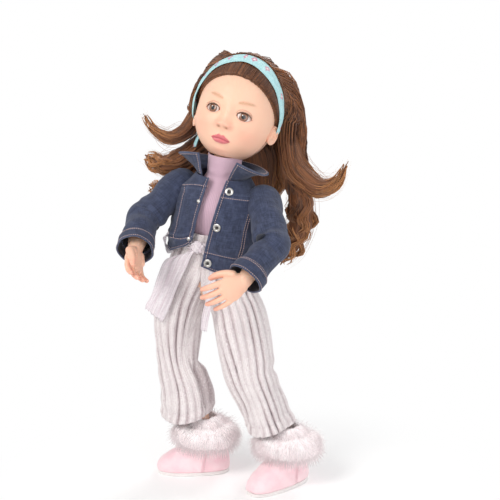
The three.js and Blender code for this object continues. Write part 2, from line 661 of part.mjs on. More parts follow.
for (const side of Object.keys(SIDES)) {
  const thigh = thighForm(side, 0)
    .subtract(place(`thigh_${side}`, sphere((LEG_BALL_R + RUN) * FACET)))
    .subtract(place(`thigh_${side}`, box(80, 80, 40, 0, 0, 20 - CUP_RIM * LEG_BALL_R)))
    .subtract(place(`thigh_${side}`, elbowFork(THIGH, KNEE_R, LEG_TONGUE)));
  const pin = (r, half) => place(`thigh_${side}`, rod(r, -half, half, 'x', 8).translate(0, 0, -THIGH));
  add(`thigh_${side}`, `thigh_${side}`, thigh.subtract(pin(LEG_PIN_R + RUN, 40)), materials.vinyl);
  add(`thigh_${side}`, `knee_pin_${side}`, pin(LEG_PIN_R, KNEE_R - 1), materials.pin);
  const tongue = place(`shin_${side}`, rod(KNEE_R, -LEG_TONGUE / 2, LEG_TONGUE / 2, 'x', 12))
    .add(place(`shin_${side}`, box(LEG_TONGUE, 12, 26, 0, 0, -13)));
  const shin = tongue.add(shinForm(side, 0)).subtract(pin(LEG_PIN_R + RUN, 40));
  add(`shin_${side}`, `shin_${side}`, shin, materials.vinyl);
  const boot = bootForm(side, 0).subtract(shinForm(side, GAP));
  heelBoots[side] = boot;
  add(`shin_${side}`, `boot_${side}`, boot, materials.boot);
  const sole = ringLoft([[0, 1], [0.8, 0], [SOLE_T, 0]].map(([z, inset]) =>
    bootSection(z, TOE - inset, HEEL - inset, BOOT_HALF - inset, 2.5, 0)));
  add(`shin_${side}`, `sole_${side}`, place(`foot_${side}`, sole), materials.sole);
  add(`shin_${side}`, `fur_cuff_${side}`, furForm(side, 0).subtract(bootForm(side, GAP)), materials.fur);
}

// Top: a close knit shell with a high neck
const topTable = [...TORSO.filter(([z]) => z > TOP_HEM && z < NECK_Z), [TOP_RISE, NECK_R, NECK_R]];
topTable.unshift([TOP_HEM, ...station(TORSO, TOP_HEM)]);
const topForm = (grow) => place('torso', stacked(topTable, GAP + CLOTH_T + grow, TORSO_SIDES, 2.3));
let top = topForm(0).subtract(place('torso', stacked(
  [[TOP_HEM - 9, ...station(TORSO, TOP_HEM - 9)], ...topTable, [TOP_RISE + 9, NECK_R, NECK_R]],
  GAP, TORSO_SIDES, 2.3)));
const armhole = (side) => place(`arm_${side}`, limb([17, 10, 0, -70].map((z) => V(0, 0, z)),
  [5, 14.5, ARM_BALL_R + ARM_CUP + 2.3, ARM_BALL_R + ARM_CUP + 2.3], 10));
for (const side of Object.keys(SIDES)) top = top.subtract(armhole(side));
add('torso', 'high_neck_top', top, materials.top);

// Jacket: one shell, open down the front, with armholes
const jacketForm = (grow) => place('torso', stacked(JACKET, grow, 22, 2.4));
const jacketInner = place('torso', stacked(
  [[JACKET_HEM - 9, JACKET[0][1], JACKET[0][2]], ...JACKET,
    [JACKET_TOP + 9, JACKET[JACKET.length - 1][1] - 2, JACKET[JACKET.length - 1][2] - 2]], 0, 22, 2.4));
function openingEdge(z, s) {
  const t = (z - JACKET_HEM) / (JACKET_TOP - JACKET_HEM);
  return OPENING_SIDE + OPENING_LEAN * t + s * (OPENING_BOTTOM + (OPENING_TOP - OPENING_BOTTOM) * t);
}
function openingWedge() {
  const [low, high] = [JACKET_HEM - SLEEVE_R, JACKET_TOP + SLEEVE_R];
  const ring = (y) => [
    V(openingEdge(low, -1), y, low), V(openingEdge(low, 1), y, low), V(openingEdge(high, 1), y, high), V(openingEdge(high, -1), y, high)];
  return place('torso', ringLoft([ring(-90), ring(-4)]));
}
const hemCut = place('torso', box(200, 200, 60, 0, 0, -30).rotateY(rad(HEM_TILT)).translate(0, 0, JACKET_HEM + HEM_RISE));
const cornerCut = place('torso', ringLoft([-90, -10].map((y) => {
  const end = OPENING_SIDE + OPENING_BOTTOM / 2;
  return [V(CORNER_X, y, 0), V(end, y, 0), V(end, y, CORNER_Z + CORNER_SLOPE * (end - CORNER_X)), V(CORNER_X, y, CORNER_Z)];
})));
let jacket = jacketForm(JACKET_T).subtract(jacketInner).subtract(openingWedge()).subtract(hemCut)
  .subtract(cornerCut);
for (const side of Object.keys(SIDES)) jacket = jacket.subtract(armhole(side));
add('torso', 'jacket_body', jacket, materials.denim);

// Collar: a band that stands up and spreads from the jacket's neck, with two points in front
const collarArc = 0.8;
function collarPoint(u, v) {
  const a = -Math.PI / 2 + collarArc * 2 * Math.PI * (u - 0.5) + Math.PI;
  const point = Math.abs(2 * u - 1) ** 3;
  const r0 = JACKET[JACKET.length - 1];
  const out = JACKET_T / 2;
  return V((r0[1] + out + COLLAR_SPREAD * v * (1 - 0.35 * point)) * Math.cos(a),
    (r0[2] + out + COLLAR_FRONT * v * (0.6 + 0.4 * point)) * Math.sin(a),
    JACKET_TOP + JACKET_T / 2 + GAP + (COLLAR_H + COLLAR_POINT * point) * v);
}
const collar = place('torso', cloth(collarPoint, 22, 2, JACKET_T, false))
  .subtract(jacketForm(JACKET_T + GAP)).subtract(topForm(GAP));
add('torso', 'jacket_collar', collar, materials.denim);

// Snaps on the left front edge, studs on the right front edge
function onJacket(x, z, out) {
  const [rx, ry] = station(JACKET, z);
  const side = Math.min(0.95, Math.abs(x) / rx);
  const power = 2.4;
  return V(x, -ry * (1 - side ** power) ** (1 / power) - JACKET_T - out, z);
}
function button(r, hole, z, edge, s) {
  const x = openingEdge(z, s) + s * edge;
  const base = onJacket(x, z, 0);
  const du = onJacket(x + 0.5, z, 0).sub(onJacket(x - 0.5, z, 0));
  const dv = onJacket(x, z + 0.5, 0).sub(onJacket(x, z - 0.5, 0));
  const normal = du.cross(dv).normalize();
  if (normal.y > 0) normal.negate();
  const profile = [[hole, 0], [r, 0], [r, SNAP_H * 0.5], [r - 0.6, SNAP_H], [hole + 0.6, SNAP_H], [hole, SNAP_H * 0.6]];
  const g = hole > 0
    ? new THREE.LatheGeometry([...profile, profile[0]].map(([a, b]) => new THREE.Vector2(a, b)), 12)
    : new THREE.LatheGeometry([[0, 0], [r, 0], [r, SNAP_H * 0.6], [r * 0.5, SNAP_H], [0, SNAP_H]]
      .map(([a, b]) => new THREE.Vector2(a, b)), 10);
  const turn = new THREE.Quaternion().setFromUnitVectors(V(0, 1, 0), normal);
  g.applyQuaternion(turn);
  const seat = base.addScaledVector(normal, GAP);
  return place('torso', g.translate(seat.x, seat.y, seat.z)).subtract(jacketForm(JACKET_T + 0.2));
}
SNAP_Z.forEach((z, i) => add('torso', `snap_${i + 1}`, button(SNAP_R, SNAP_HOLE_R, z, SNAP_R + 2.5, 1), materials.metal));
STUD_Z.forEach((z, i) => add('torso', `stud_${i + 1}`, button(STUD_R, 0, z, STUD_R + 1.5, -1), materials.metal));

// Sleeves, mitred at the elbow
function mitre(side, upper) {
  const half = ELBOW_BEND[side] / 2;
  const g = box(160, 160, 80, 0, 0, upper ? -40 + GAP / 2 : 40 - GAP / 2);
  g.rotateX(rad(upper ? -half : half));
  return toSolid(g, upper
    ? world(`arm_${side}`).clone().multiply(new THREE.Matrix4().makeTranslation(0, 0, -UPPER_ARM))
    : world(`forearm_${side}`));
}
function upperSleeve(side, grow) {
  return place(`arm_${side}`, limb(legAxis([0.9, 0.63, 0.21, -0.42, -1.6].map((k) => k * SLEEVE_R).concat(-UPPER_ARM - 0.84 * SLEEVE_R)),
    [0.37, 0.71, 0.92, 1, 0.985, 0.975].map((k) => k * SLEEVE_R + grow), 12));
}
function lowerSleeve(side, grow) {
  const end = -FOREARM + CUFF_L + 1;
  return place(`forearm_${side}`, limb(legAxis([0.84 * SLEEVE_R, -0.53 * SLEEVE_R, -1.3 * SLEEVE_R, end - grow]),
    [0.975, 0.975, 0.96, 0.95].map((k) => k * SLEEVE_R + grow), 12));
}
function cuffForm(side, grow) {
  const end = -FOREARM + CUFF_L + 1;
  return place(`forearm_${side}`, limb(legAxis([end - GAP + grow, end - 2, end - CUFF_L - grow]),
    [CUFF_R - 0.8, CUFF_R, CUFF_R - 0.6].map((k) => k + grow), 12));
}
for (const side of Object.keys(SIDES)) {
  const bore = place(`arm_${side}`, limb(legAxis([0.68, 0.42, -0.42, -1.6].map((k) => k * SLEEVE_R).concat(-UPPER_ARM - 0.9 * SLEEVE_R)),
    [0.42, 0.74, 1 - SLEEVE_T / SLEEVE_R, 0.985 - SLEEVE_T / SLEEVE_R, 0.975 - SLEEVE_T / SLEEVE_R].map((k) => k * SLEEVE_R), 12));
  const sleeve = upperSleeve(side, 0).subtract(bore).subtract(mitre(side, true))
    .subtract(jacketForm(JACKET_T + GAP));
  add(`arm_${side}`, `sleeve_upper_${side}`, sleeve, materials.denim);
  const bore2 = place(`forearm_${side}`, limb(legAxis([20, -10, -70]),
    [SLEEVE_R - 0.6 - SLEEVE_T, SLEEVE_R - 0.6 - SLEEVE_T, SLEEVE_R - 1.4 - SLEEVE_T], 12));
  const low = lowerSleeve(side, 0).subtract(bore2).subtract(mitre(side, false)).subtract(jacketForm(JACKET_T + GAP));
  add(`forearm_${side}`, `sleeve_lower_${side}`, low, materials.denim);
  add(`forearm_${side}`, `cuff_${side}`, cuffForm(side, 0).subtract(bore2), materials.denim);
}

// Trousers: seat and two wide pleated legs, mitred at the knee
const fold = (a) => FOLD_DEPTH * Math.cos(FOLDS * a);
const seatTable = [
  [SEAT_LOW, HIP_HALF + LEG_R - 6, 33], [14, 49, 33], [38, 42, 30],
  [SEAT_TOP, 36.5, 27.5]];
const seatForm = (grow) => place('torso', stacked(seatTable, SEAT_EASE + grow, 22, 2.4, 0));
let seat = seatForm(SEAT_T).subtract(place('torso', stacked(
  [[SEAT_LOW - 9, seatTable[0][1], seatTable[0][2]], ...seatTable, [SEAT_TOP + 9, 36.5, 27.5]], SEAT_EASE, 22, 2.4)));
function trouserRadius(side, t, a) {
  const flare = t < 0.5 ? LEG_R : LEG_R + (HEM_R - LEG_R) * (t - 0.5) * 2;
  return flare + fold(a) * (0.5 + 0.5 * t);
}
const HEM_DROP = HEM_Z - ANKLE_Z;
function upperLegSurface(side) {
  return (u, v) => {
    const a = 2 * Math.PI * u;
    const r = trouserRadius(side, 0.5 * v, a);
    return V(r * Math.cos(a), r * 0.98 * Math.sin(a), 16 - v * (THIGH + 34));
  };
}
function lowerLegSurface(side) {
  return (u, v) => {
    const a = 2 * Math.PI * u;
    const r = trouserRadius(side, 0.5 + 0.5 * v, a);
    return V(r * Math.cos(a), r * 0.98 * Math.sin(a), 18 - v * (18 + SHIN - HEM_DROP));
  };
}
function kneeMitre(side, upper) {
  const half = KNEE_BEND[side] / 2;
  const g = box(200, 200, 100, 0, 0, upper ? -50 + GAP / 2 : 50 - GAP / 2);
  g.rotateX(rad(upper ? half : -half));
  return toSolid(g, upper
    ? world(`thigh_${side}`).clone().multiply(new THREE.Matrix4().makeTranslation(0, 0, -THIGH))
    : world(`shin_${side}`));
}
// The two legs meet along the plane between the thighs
function crotchPlane(s) {
  return place('torso', box(200, 200, 400, s * (-100 + 0.3), 0, -100));
}
for (const [side, s] of Object.entries(SIDES)) {
  const upper = place(`thigh_${side}`, cloth(upperLegSurface(side), 32, 2, TROUSER_T, true))
    .subtract(kneeMitre(side, true)).subtract(seatForm(SEAT_T + GAP)).subtract(crotchPlane(s))
    .subtract(torsoForm(GAP));
  const lower = place(`shin_${side}`, cloth(lowerLegSurface(side), 32, 2, TROUSER_T, true))
    .subtract(kneeMitre(side, false)).subtract(furForm(side, GAP));
  add(`thigh_${side}`, `trouser_upper_${side}`, upper, materials.trousers);
  add(`shin_${side}`, `trouser_lower_${side}`, lower, materials.trousers);
  seat = seat.subtract(place(`thigh_${side}`, limb(legAxis([22, 13, 0, -60]),
    [7, 17, LEG_BALL_R + LEG_CUP + 2.3, LEG_BALL_R + LEG_CUP + 2.3], 10)));
}
add('torso', 'trouser_seat', seat, materials.trousers);

// Sash: a soft band round the waist with a knot and two tails
const waist = (a, z, out) => {
  const [rx, ry] = station(seatTable, z);
  const power = 2.4;
  const k = (Math.abs(Math.cos(a)) ** power + Math.abs(Math.sin(a)) ** power) ** (-1 / power);
  const add2 = SEAT_EASE + SEAT_T + out;
  return V((rx + add2) * k * Math.cos(a), (ry + add2) * k * Math.sin(a), z);
};
const sashBand = cloth((u, v) => waist(2 * Math.PI * u, SASH_Z + SASH_W * (v - 0.5), GAP + SASH_T / 2), 22, 1, SASH_T, true);
add('torso', 'sash_band', place('torso', sashBand), materials.sash);
const KNOT_X = -4;
const KNOT_OUT = SASH_T + GAP + 2;
const knotAt = waist(Math.atan2(-1, KNOT_X / 36), SASH_Z, 0);
const knotSolid = (grow) => place('torso', sphere(1, 0, 0, 0, 10, 8).scale(5.5 + grow, 3 + grow, 5 + grow)
  .translate(knotAt.x, knotAt.y - KNOT_OUT, SASH_Z));
const sashForm = (grow) => place('torso', cloth(
  (u, v) => waist(2 * Math.PI * u, SASH_Z + SASH_W * (v - 0.5), GAP + SASH_T / 2), 22, 1, SASH_T + 2 * grow, true));
add('torso', 'sash_knot', knotSolid(0).subtract(sashForm(GAP)), materials.sash);
function tail(x0, x1, length, wide) {
  return (u, v) => {
    const w = wide * (0.35 + 0.65 * Math.min(1, v * 2.2));
    const ripple = 1.2 * Math.sin(3 * Math.PI * u) * Math.min(1, 2 * v);
    const out = KNOT_OUT - 0.6 + 3.2 * Math.sin(Math.PI * Math.min(1, v * 1.3) / 2);
    return V(knotAt.x + x0 + (x1 - x0) * v + w * (u - 0.5), knotAt.y - out - ripple, SASH_Z - 3 - length * v);
  };
}
const legBlock = trouserBlock();
function trouserBlock() {
  let block = null;
  for (const side of Object.keys(SIDES)) {
    const solid = place(`thigh_${side}`, limb(legAxis([4, -THIGH]), [LEG_R + FOLD_DEPTH + 1.2, LEG_R + FOLD_DEPTH + 1.2], 14));
    block = block ? block.add(solid) : solid;
  }
  return block;
}
const tailWide = place('torso', cloth(tail(-5, -26, TAIL_WIDE_L, TAIL_WIDE), 6, 5, SASH_T, false))
  .subtract(legBlock).subtract(sashForm(GAP)).subtract(knotSolid(GAP)).subtract(seatForm(SEAT_T + GAP));
const tailNarrow = place('torso', cloth(tail(2, 16, TAIL_NARROW_L, TAIL_NARROW), 2, 5, SASH_T, false))
  .subtract(legBlock).subtract(sashForm(GAP)).subtract(knotSolid(GAP)).subtract(seatForm(SEAT_T + GAP));
add('torso', 'sash_tail_wide', tailWide, materials.sash);
add('torso', 'sash_tail_narrow', tailNarrow, materials.sash);

// Hair falls: thick waved locks that hang from the cap, given about the head's centre in upright axes
const headCentre = V(0, 0, HEAD_UP).applyMatrix4(world('head'));
function lock(points, radii, grow) {
  const curve = new THREE.CatmullRomCurve3(points.map(([x, y, z]) => V(x, y, z).add(headCentre)));
  const steps = 9;
  const path = [];
  const r = [];
  for (let i = 0; i <= steps; i += 1) {
    const t = i / steps;
    path.push(curve.getPoint(t));
    const k = t * (radii.length - 1);
    const a = radii[Math.floor(k)];
    const b = radii[Math.min(radii.length - 1, Math.floor(k) + 1)];
    r.push([0, 1].map((n) => a[n] + (b[n] - a[n]) * (k - Math.floor(k)) + grow));
  }
  return toSolid(limb(path, r, 8, V(1, 0.35, 0)));
}
const LOCKS = {
  hair_back: [[[-4, 34, 0], [-6, 50, -30], [-6, 58, -62], [-4, 62, -94], [0, 64, -120]],
    [[30, 12], [40, 14], [43, 13], [38, 11], [22, 6]]],
  hair_right_upper: [[[-30, 24, 34], [-48, 24, 14], [-56, 19, -8], [-68, 8, -24], [-86, -2, -30], [-102, -10, -18], [-111, -14, -2]],
    [[10, 9], [12, 10], [12, 10], [11, 9], [9, 6], [5, 4], [2, 2]]],
  hair_right_lower: [[[-34, 28, -10], [-52, 24, -38], [-78, 14, -58], [-102, 4, -62], [-120, 2, -52]],
    [[10, 8], [15, 10], [15, 10], [12, 8], [6, 4]]],
  hair_right_curl: [[[-30, 38, -20], [-48, 34, -56], [-72, 24, -82], [-98, 12, -94], [-120, 8, -88]],
    [[9, 7], [13, 9], [14, 9], [12, 8], [6, 4]]],
  hair_left_upper: [[[30, 22, 34], [49, 27, 14], [56, 31, -12], [57, 35, -38], [67, 39, -62], [88, 43, -77], [106, 45, -72], [116, 46, -54]],
    [[10, 9], [13, 10], [14, 11], [15, 11], [15, 10], [11, 8], [6, 5], [2, 2]]],
  hair_left_lower: [[[34, 38, -14], [47, 48, -54], [51, 53, -92], [52, 54, -130], [41, 53, -160], [27, 50, -184]],
    [[11, 9], [16, 11], [17, 12], [17, 12], [14, 9], [5, 4]]],
};
const obstacles = [];
const crownHull = headForm(CROWN_T + GAP, 20, 12);
// The locks start behind the band
const bandFront = headForm(BAND_FRONT, 20, 12).subtract(behindBand);
const sleeves = Object.keys(SIDES).map((side) => upperSleeve(side, GAP).add(lowerSleeve(side, GAP)));
for (const [name, [points, radii]] of Object.entries(LOCKS)) {
  let solid = lock(points, radii, 0)
    .subtract(crownHull).subtract(bandFront)
    .subtract(jacketForm(JACKET_T + GAP))
    .subtract(topForm(GAP))
    .subtract(place('torso', cloth(collarPoint, 22, 2, JACKET_T + 2 * GAP, false)))
    .subtract(sleeves[0]).subtract(sleeves[1]);
  for (const other of obstacles) solid = solid.subtract(other);
  obstacles.push(lock(points, radii, GAP));
  add('head', name, solid, materials.hair);
}

// Headband knot and tail behind the neck, on the doll's right
const knotHead = sphere(1, 0, 0, 0, 10, 8).scale(6, 4, 5);
const bandKnot = (grow) => inHead(knotHead.clone().scale(1 + grow / 5, 1 + grow / 5, 1 + grow / 5)
  .translate(-37.5, 28.5, -30));
add('head', 'headband_knot', bandKnot(0).subtract(crownForm(GAP)).subtract(headForm(HAIR_T + 2 * GAP, 20, 12))
  .subtract(bandForm(GAP)).subtract(ears(GAP)), materials.band);
for (const node of nodes) {
  if (node.name.startsWith('hair_')) node.solid = node.solid.subtract(bandKnot(GAP));
}

for (const { group, name, solid, material } of nodes) {
  const geometry = toGeometry(solid).applyMatrix4(world(group).clone().invert());
  const mesh = new THREE.Mesh(geometry, material);
  mesh.name = name;
  frames[group].add(mesh);
}

// The origin is the middle of the bounding box on the floor
const extent = new THREE.Box3().setFromObject(doll, true);
doll.position.set(-(extent.min.x + extent.max.x) / 2, -(extent.min.y + extent.max.y) / 2, 0);

export default doll;
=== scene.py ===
# Vinyl play doll: the looks of its face, hair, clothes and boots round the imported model.
# Local sizes are in millimetres in a body's own frame; meshes are in metres.
import json
from math import cos, pi, radians, sin

import bpy
import numpy as np
from mathutils import Matrix, Vector
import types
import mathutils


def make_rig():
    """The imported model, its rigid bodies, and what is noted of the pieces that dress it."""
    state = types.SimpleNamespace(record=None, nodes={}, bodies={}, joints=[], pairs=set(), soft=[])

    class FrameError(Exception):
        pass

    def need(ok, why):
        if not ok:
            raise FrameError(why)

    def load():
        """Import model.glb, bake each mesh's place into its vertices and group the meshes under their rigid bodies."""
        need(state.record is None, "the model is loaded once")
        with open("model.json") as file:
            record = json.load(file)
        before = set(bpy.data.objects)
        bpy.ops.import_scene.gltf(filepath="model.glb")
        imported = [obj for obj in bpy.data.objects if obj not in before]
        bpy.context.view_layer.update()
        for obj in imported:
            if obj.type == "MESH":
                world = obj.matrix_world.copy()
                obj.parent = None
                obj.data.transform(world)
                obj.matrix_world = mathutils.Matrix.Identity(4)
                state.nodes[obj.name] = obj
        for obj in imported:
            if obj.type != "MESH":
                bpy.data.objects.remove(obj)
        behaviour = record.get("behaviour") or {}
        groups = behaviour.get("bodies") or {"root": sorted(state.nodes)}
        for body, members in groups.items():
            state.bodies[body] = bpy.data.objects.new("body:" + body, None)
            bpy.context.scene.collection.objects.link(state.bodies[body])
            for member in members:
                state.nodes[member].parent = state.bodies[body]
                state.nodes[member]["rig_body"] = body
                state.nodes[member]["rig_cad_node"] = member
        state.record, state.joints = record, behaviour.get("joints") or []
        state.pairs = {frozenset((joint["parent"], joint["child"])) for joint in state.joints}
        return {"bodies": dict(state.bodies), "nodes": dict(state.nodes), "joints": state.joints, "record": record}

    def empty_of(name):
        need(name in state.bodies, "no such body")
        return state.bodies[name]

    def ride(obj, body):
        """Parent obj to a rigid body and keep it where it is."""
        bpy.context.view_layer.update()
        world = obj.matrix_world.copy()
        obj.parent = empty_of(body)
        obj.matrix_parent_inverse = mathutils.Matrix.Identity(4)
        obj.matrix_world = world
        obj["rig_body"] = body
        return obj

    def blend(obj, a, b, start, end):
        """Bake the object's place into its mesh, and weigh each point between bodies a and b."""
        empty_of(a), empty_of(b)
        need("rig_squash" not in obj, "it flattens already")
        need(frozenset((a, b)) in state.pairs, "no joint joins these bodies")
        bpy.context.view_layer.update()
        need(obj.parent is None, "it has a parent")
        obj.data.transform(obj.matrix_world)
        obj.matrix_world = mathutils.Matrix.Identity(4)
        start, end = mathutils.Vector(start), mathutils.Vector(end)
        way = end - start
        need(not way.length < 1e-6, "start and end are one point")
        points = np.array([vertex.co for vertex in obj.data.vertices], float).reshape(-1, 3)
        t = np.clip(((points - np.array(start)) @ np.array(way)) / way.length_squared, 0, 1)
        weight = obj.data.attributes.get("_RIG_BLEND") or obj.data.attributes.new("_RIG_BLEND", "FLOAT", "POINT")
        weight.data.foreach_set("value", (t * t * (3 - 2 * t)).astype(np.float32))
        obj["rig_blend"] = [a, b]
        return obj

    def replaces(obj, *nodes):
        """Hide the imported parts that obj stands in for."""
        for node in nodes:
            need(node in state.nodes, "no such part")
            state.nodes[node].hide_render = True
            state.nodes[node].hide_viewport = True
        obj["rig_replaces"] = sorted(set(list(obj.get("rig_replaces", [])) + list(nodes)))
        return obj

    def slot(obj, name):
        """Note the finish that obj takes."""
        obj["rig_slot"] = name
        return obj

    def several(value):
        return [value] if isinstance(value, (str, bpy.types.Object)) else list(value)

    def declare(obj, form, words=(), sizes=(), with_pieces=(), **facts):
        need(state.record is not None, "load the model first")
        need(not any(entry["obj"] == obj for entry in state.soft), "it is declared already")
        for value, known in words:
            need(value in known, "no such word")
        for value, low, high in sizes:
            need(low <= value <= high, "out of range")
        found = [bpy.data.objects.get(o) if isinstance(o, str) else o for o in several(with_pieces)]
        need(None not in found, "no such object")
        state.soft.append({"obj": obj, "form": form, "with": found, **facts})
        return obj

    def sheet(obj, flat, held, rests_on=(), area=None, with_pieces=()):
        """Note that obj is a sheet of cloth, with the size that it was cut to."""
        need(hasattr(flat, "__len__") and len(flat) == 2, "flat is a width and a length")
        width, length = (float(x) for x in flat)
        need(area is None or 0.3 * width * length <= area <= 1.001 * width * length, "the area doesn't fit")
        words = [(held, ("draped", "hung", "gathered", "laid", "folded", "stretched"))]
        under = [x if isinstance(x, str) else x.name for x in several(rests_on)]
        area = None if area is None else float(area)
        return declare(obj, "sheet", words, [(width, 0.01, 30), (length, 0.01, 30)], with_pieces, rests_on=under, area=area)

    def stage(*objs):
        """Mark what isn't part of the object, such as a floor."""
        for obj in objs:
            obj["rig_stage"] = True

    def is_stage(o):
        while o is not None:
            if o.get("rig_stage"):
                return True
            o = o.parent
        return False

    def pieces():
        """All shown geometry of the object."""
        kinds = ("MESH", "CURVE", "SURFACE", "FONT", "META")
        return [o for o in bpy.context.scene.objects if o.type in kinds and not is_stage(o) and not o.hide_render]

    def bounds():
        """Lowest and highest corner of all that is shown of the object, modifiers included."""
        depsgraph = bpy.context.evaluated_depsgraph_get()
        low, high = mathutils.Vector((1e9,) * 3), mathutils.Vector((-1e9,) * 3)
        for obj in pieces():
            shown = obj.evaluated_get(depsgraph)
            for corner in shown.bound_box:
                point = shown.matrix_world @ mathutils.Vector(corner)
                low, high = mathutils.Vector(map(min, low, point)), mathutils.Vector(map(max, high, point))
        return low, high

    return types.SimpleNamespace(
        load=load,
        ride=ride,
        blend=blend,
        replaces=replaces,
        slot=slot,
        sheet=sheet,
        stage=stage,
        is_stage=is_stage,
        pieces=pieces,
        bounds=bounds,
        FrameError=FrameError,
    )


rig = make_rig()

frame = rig.load()
CAD_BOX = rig.bounds()

MM = 0.001
SIDES = {"right": -1, "left": 1}
STANCE = {
    "right": dict(leg_swing=3, leg_spread=-1.7, leg_turn=-67, knee=20.6, foot=-66,
                  arm_swing=50, arm_flare=23, arm_turn=72, elbow=42, curl=2, lean=-14),
    "left": dict(leg_swing=6.5, leg_spread=21.507, leg_turn=-32.5, knee=16.8, foot=-25.5,
                 arm_swing=48, arm_flare=32, arm_turn=84, elbow=45, curl=22, lean=5),
}
TORSO_ROLL = 8.4
HEAD_TURN, HEAD_NOD, HEAD_TILT = 9, -13, 5
HIP_HALF, SHOULDER_HALF, SHOULDER_Z = 27, 52, 102
UPPER_ARM, FOREARM, THIGH, SHIN = 57, 54, 104, 100
NECK_Z, NOD_Z, HEAD_UP = 131, 141, 57

rng = np.random.default_rng(7)


# Frames of the bodies, as in the part

def turn(axis, degrees):
    return Matrix.Rotation(radians(degrees), 4, axis)


def move(x, y, z):
    return Matrix.Translation(Vector((x, y, z)))


JOINT_AT = {j["name"]: Vector(j["pos_m"]) / MM for j in frame["joints"]}


def joint_at(*words):
    return next(p for n, p in JOINT_AT.items() if all(w in n for w in words))


F = {}
HIP_MIDDLE = (joint_at("hip_swing", "right") + joint_at("hip_swing", "left")) / 2
F["torso"] = Matrix.Translation(HIP_MIDDLE) @ turn("Y", TORSO_ROLL)
F["neck"] = F["torso"] @ move(0, 0, NECK_Z) @ turn("Z", HEAD_TURN)
F["nod"] = F["neck"] @ move(0, 0, NOD_Z - NECK_Z) @ turn("X", HEAD_NOD) @ turn("Y", HEAD_TILT)
F["head"] = F["nod"] @ move(0, 0, HEAD_UP)
for side, s in SIDES.items():
    p = STANCE[side]
    F["hip_" + side] = F["torso"] @ move(s * HIP_HALF, 0, 0) @ turn("X", -p["leg_swing"])
    F["thigh_" + side] = F["hip_" + side] @ turn("Y", -s * p["leg_spread"]) @ turn("Z", p["leg_turn"])
    F["shin_" + side] = F["thigh_" + side] @ move(0, 0, -THIGH) @ turn("X", p["knee"])
    ankle = F["shin_" + side] @ Vector((0, 0, -SHIN))
    F["foot_" + side] = move(ankle.x, ankle.y, 0) @ turn("Z", p["foot"])
    F["arm_" + side] = (F["torso"] @ move(s * SHOULDER_HALF, 0, SHOULDER_Z) @ turn("X", -p["arm_swing"])
                        @ turn("Y", -s * p["arm_flare"]) @ turn("Z", -s * p["arm_turn"]))
    F["forearm_" + side] = F["arm_" + side] @ move(0, 0, -UPPER_ARM) @ turn("X", -p["elbow"])


def place(points, name):
    """Points of a body's frame in millimetres, as points of the scene in metres."""
    m = np.array(F[name])
    return (np.asarray(points, float) @ m[:3, :3].T + m[:3, 3]) * MM


def local(points, name):
    m = np.array(F[name].inverted())
    return (np.asarray(points, float) / MM) @ m[:3, :3].T + m[:3, 3]


# Meshes

def smooth01(x):
    x = np.clip(x, 0, 1)
    return x * x * (3 - 2 * x)


def bell(x, width):
    """1 where x is 0, falling away smoothly over the width."""
    return np.exp(-((x / width) ** 2))


def steps_round(count):
    """Angles of even steps round a circle."""
    return np.arange(count) * 2 * pi / count


def half_turn(angle):
    """The same angle between minus and plus half a turn."""
    return np.mod(angle + pi, 2 * pi) - pi


def outline(rx, ry, a, power, z, shift=0):
    """Points of an outline between an oval (power 2) and a box, at the angles a and the heights z."""
    k = (np.abs(np.cos(a)) ** power + np.abs(np.sin(a)) ** power) ** (-1 / power)
    return np.stack([rx * k * np.cos(a), shift + ry * k * np.sin(a), z * np.ones_like(a)], -1)


def unit(v):
    return v / np.maximum(np.linalg.norm(v, axis=-1, keepdims=True), 1e-12)


def linked(name, data):
    obj = bpy.data.objects.new(name, data)
    bpy.context.scene.collection.objects.link(obj)
    return obj


def to_object(name, points, faces, material, uv=None, values=None, smooth=True):
    mesh = bpy.data.meshes.new(name)
    mesh.from_pydata(np.asarray(points).tolist(), [], faces.tolist() if hasattr(faces, "tolist") else faces)
    if uv is not None:
        mesh.uv_layers.new(name="UVMap").data.foreach_set("uv", np.asarray(uv, np.float32).ravel())
    for key, value in (values or {}).items():
        mesh.attributes.new(key, "FLOAT", "POINT").data.foreach_set("value", np.asarray(value, np.float32).ravel())
    if smooth:
        mesh.shade_smooth()
    mesh.materials.append(material)
    return linked(name, mesh)


def grid_quads(rows, cols, wrap):
    """Corner numbers of a grid's quads, and each corner's row and column for its UV."""
    r, c = np.meshgrid(np.arange(rows - 1), np.arange(cols if wrap else cols - 1), indexing="ij")
    r, c = r.ravel(), c.ravel()
    rr = np.stack([r, r, r + 1, r + 1], 1)
    cc = np.stack([c, c + 1, c + 1, c], 1)
    return rr * cols + cc % cols, rr, cc


def normals_of(P, wrap):
    if wrap:
        du = np.roll(P, -1, 1) - np.roll(P, 1, 1)
    else:
        du = np.gradient(P, axis=1)
    return unit(np.cross(du, np.gradient(P, axis=0)))


def run_lengths(P, wrap):
    """Length along the columns and down the rows, in metres, for the UVs."""
    if wrap:
        P = np.concatenate([P, P[:, :1]], 1)
    across = np.linalg.norm(np.diff(P, axis=1), axis=2).mean(0)
    down = np.linalg.norm(np.diff(P, axis=0), axis=2).mean(1)
    return np.concatenate([[0], np.cumsum(across)]), np.concatenate([[0], np.cumsum(down)])


def outward(faces, points, uv_corner=None):
    """Turns a closed mesh's faces so that they point outwards."""
    p = np.asarray(points)
    a, b, c = p[faces[:, 0]], p[faces[:, 1]], p[faces[:, 2]]
    d = p[faces[:, -1]]
    volume = (a * np.cross(b, c)).sum() + (a * np.cross(c, d)).sum()
    if volume < 0:
        faces = faces[:, ::-1]
        if uv_corner is not None:
            uv_corner = uv_corner[:, ::-1]
    return faces, uv_corner


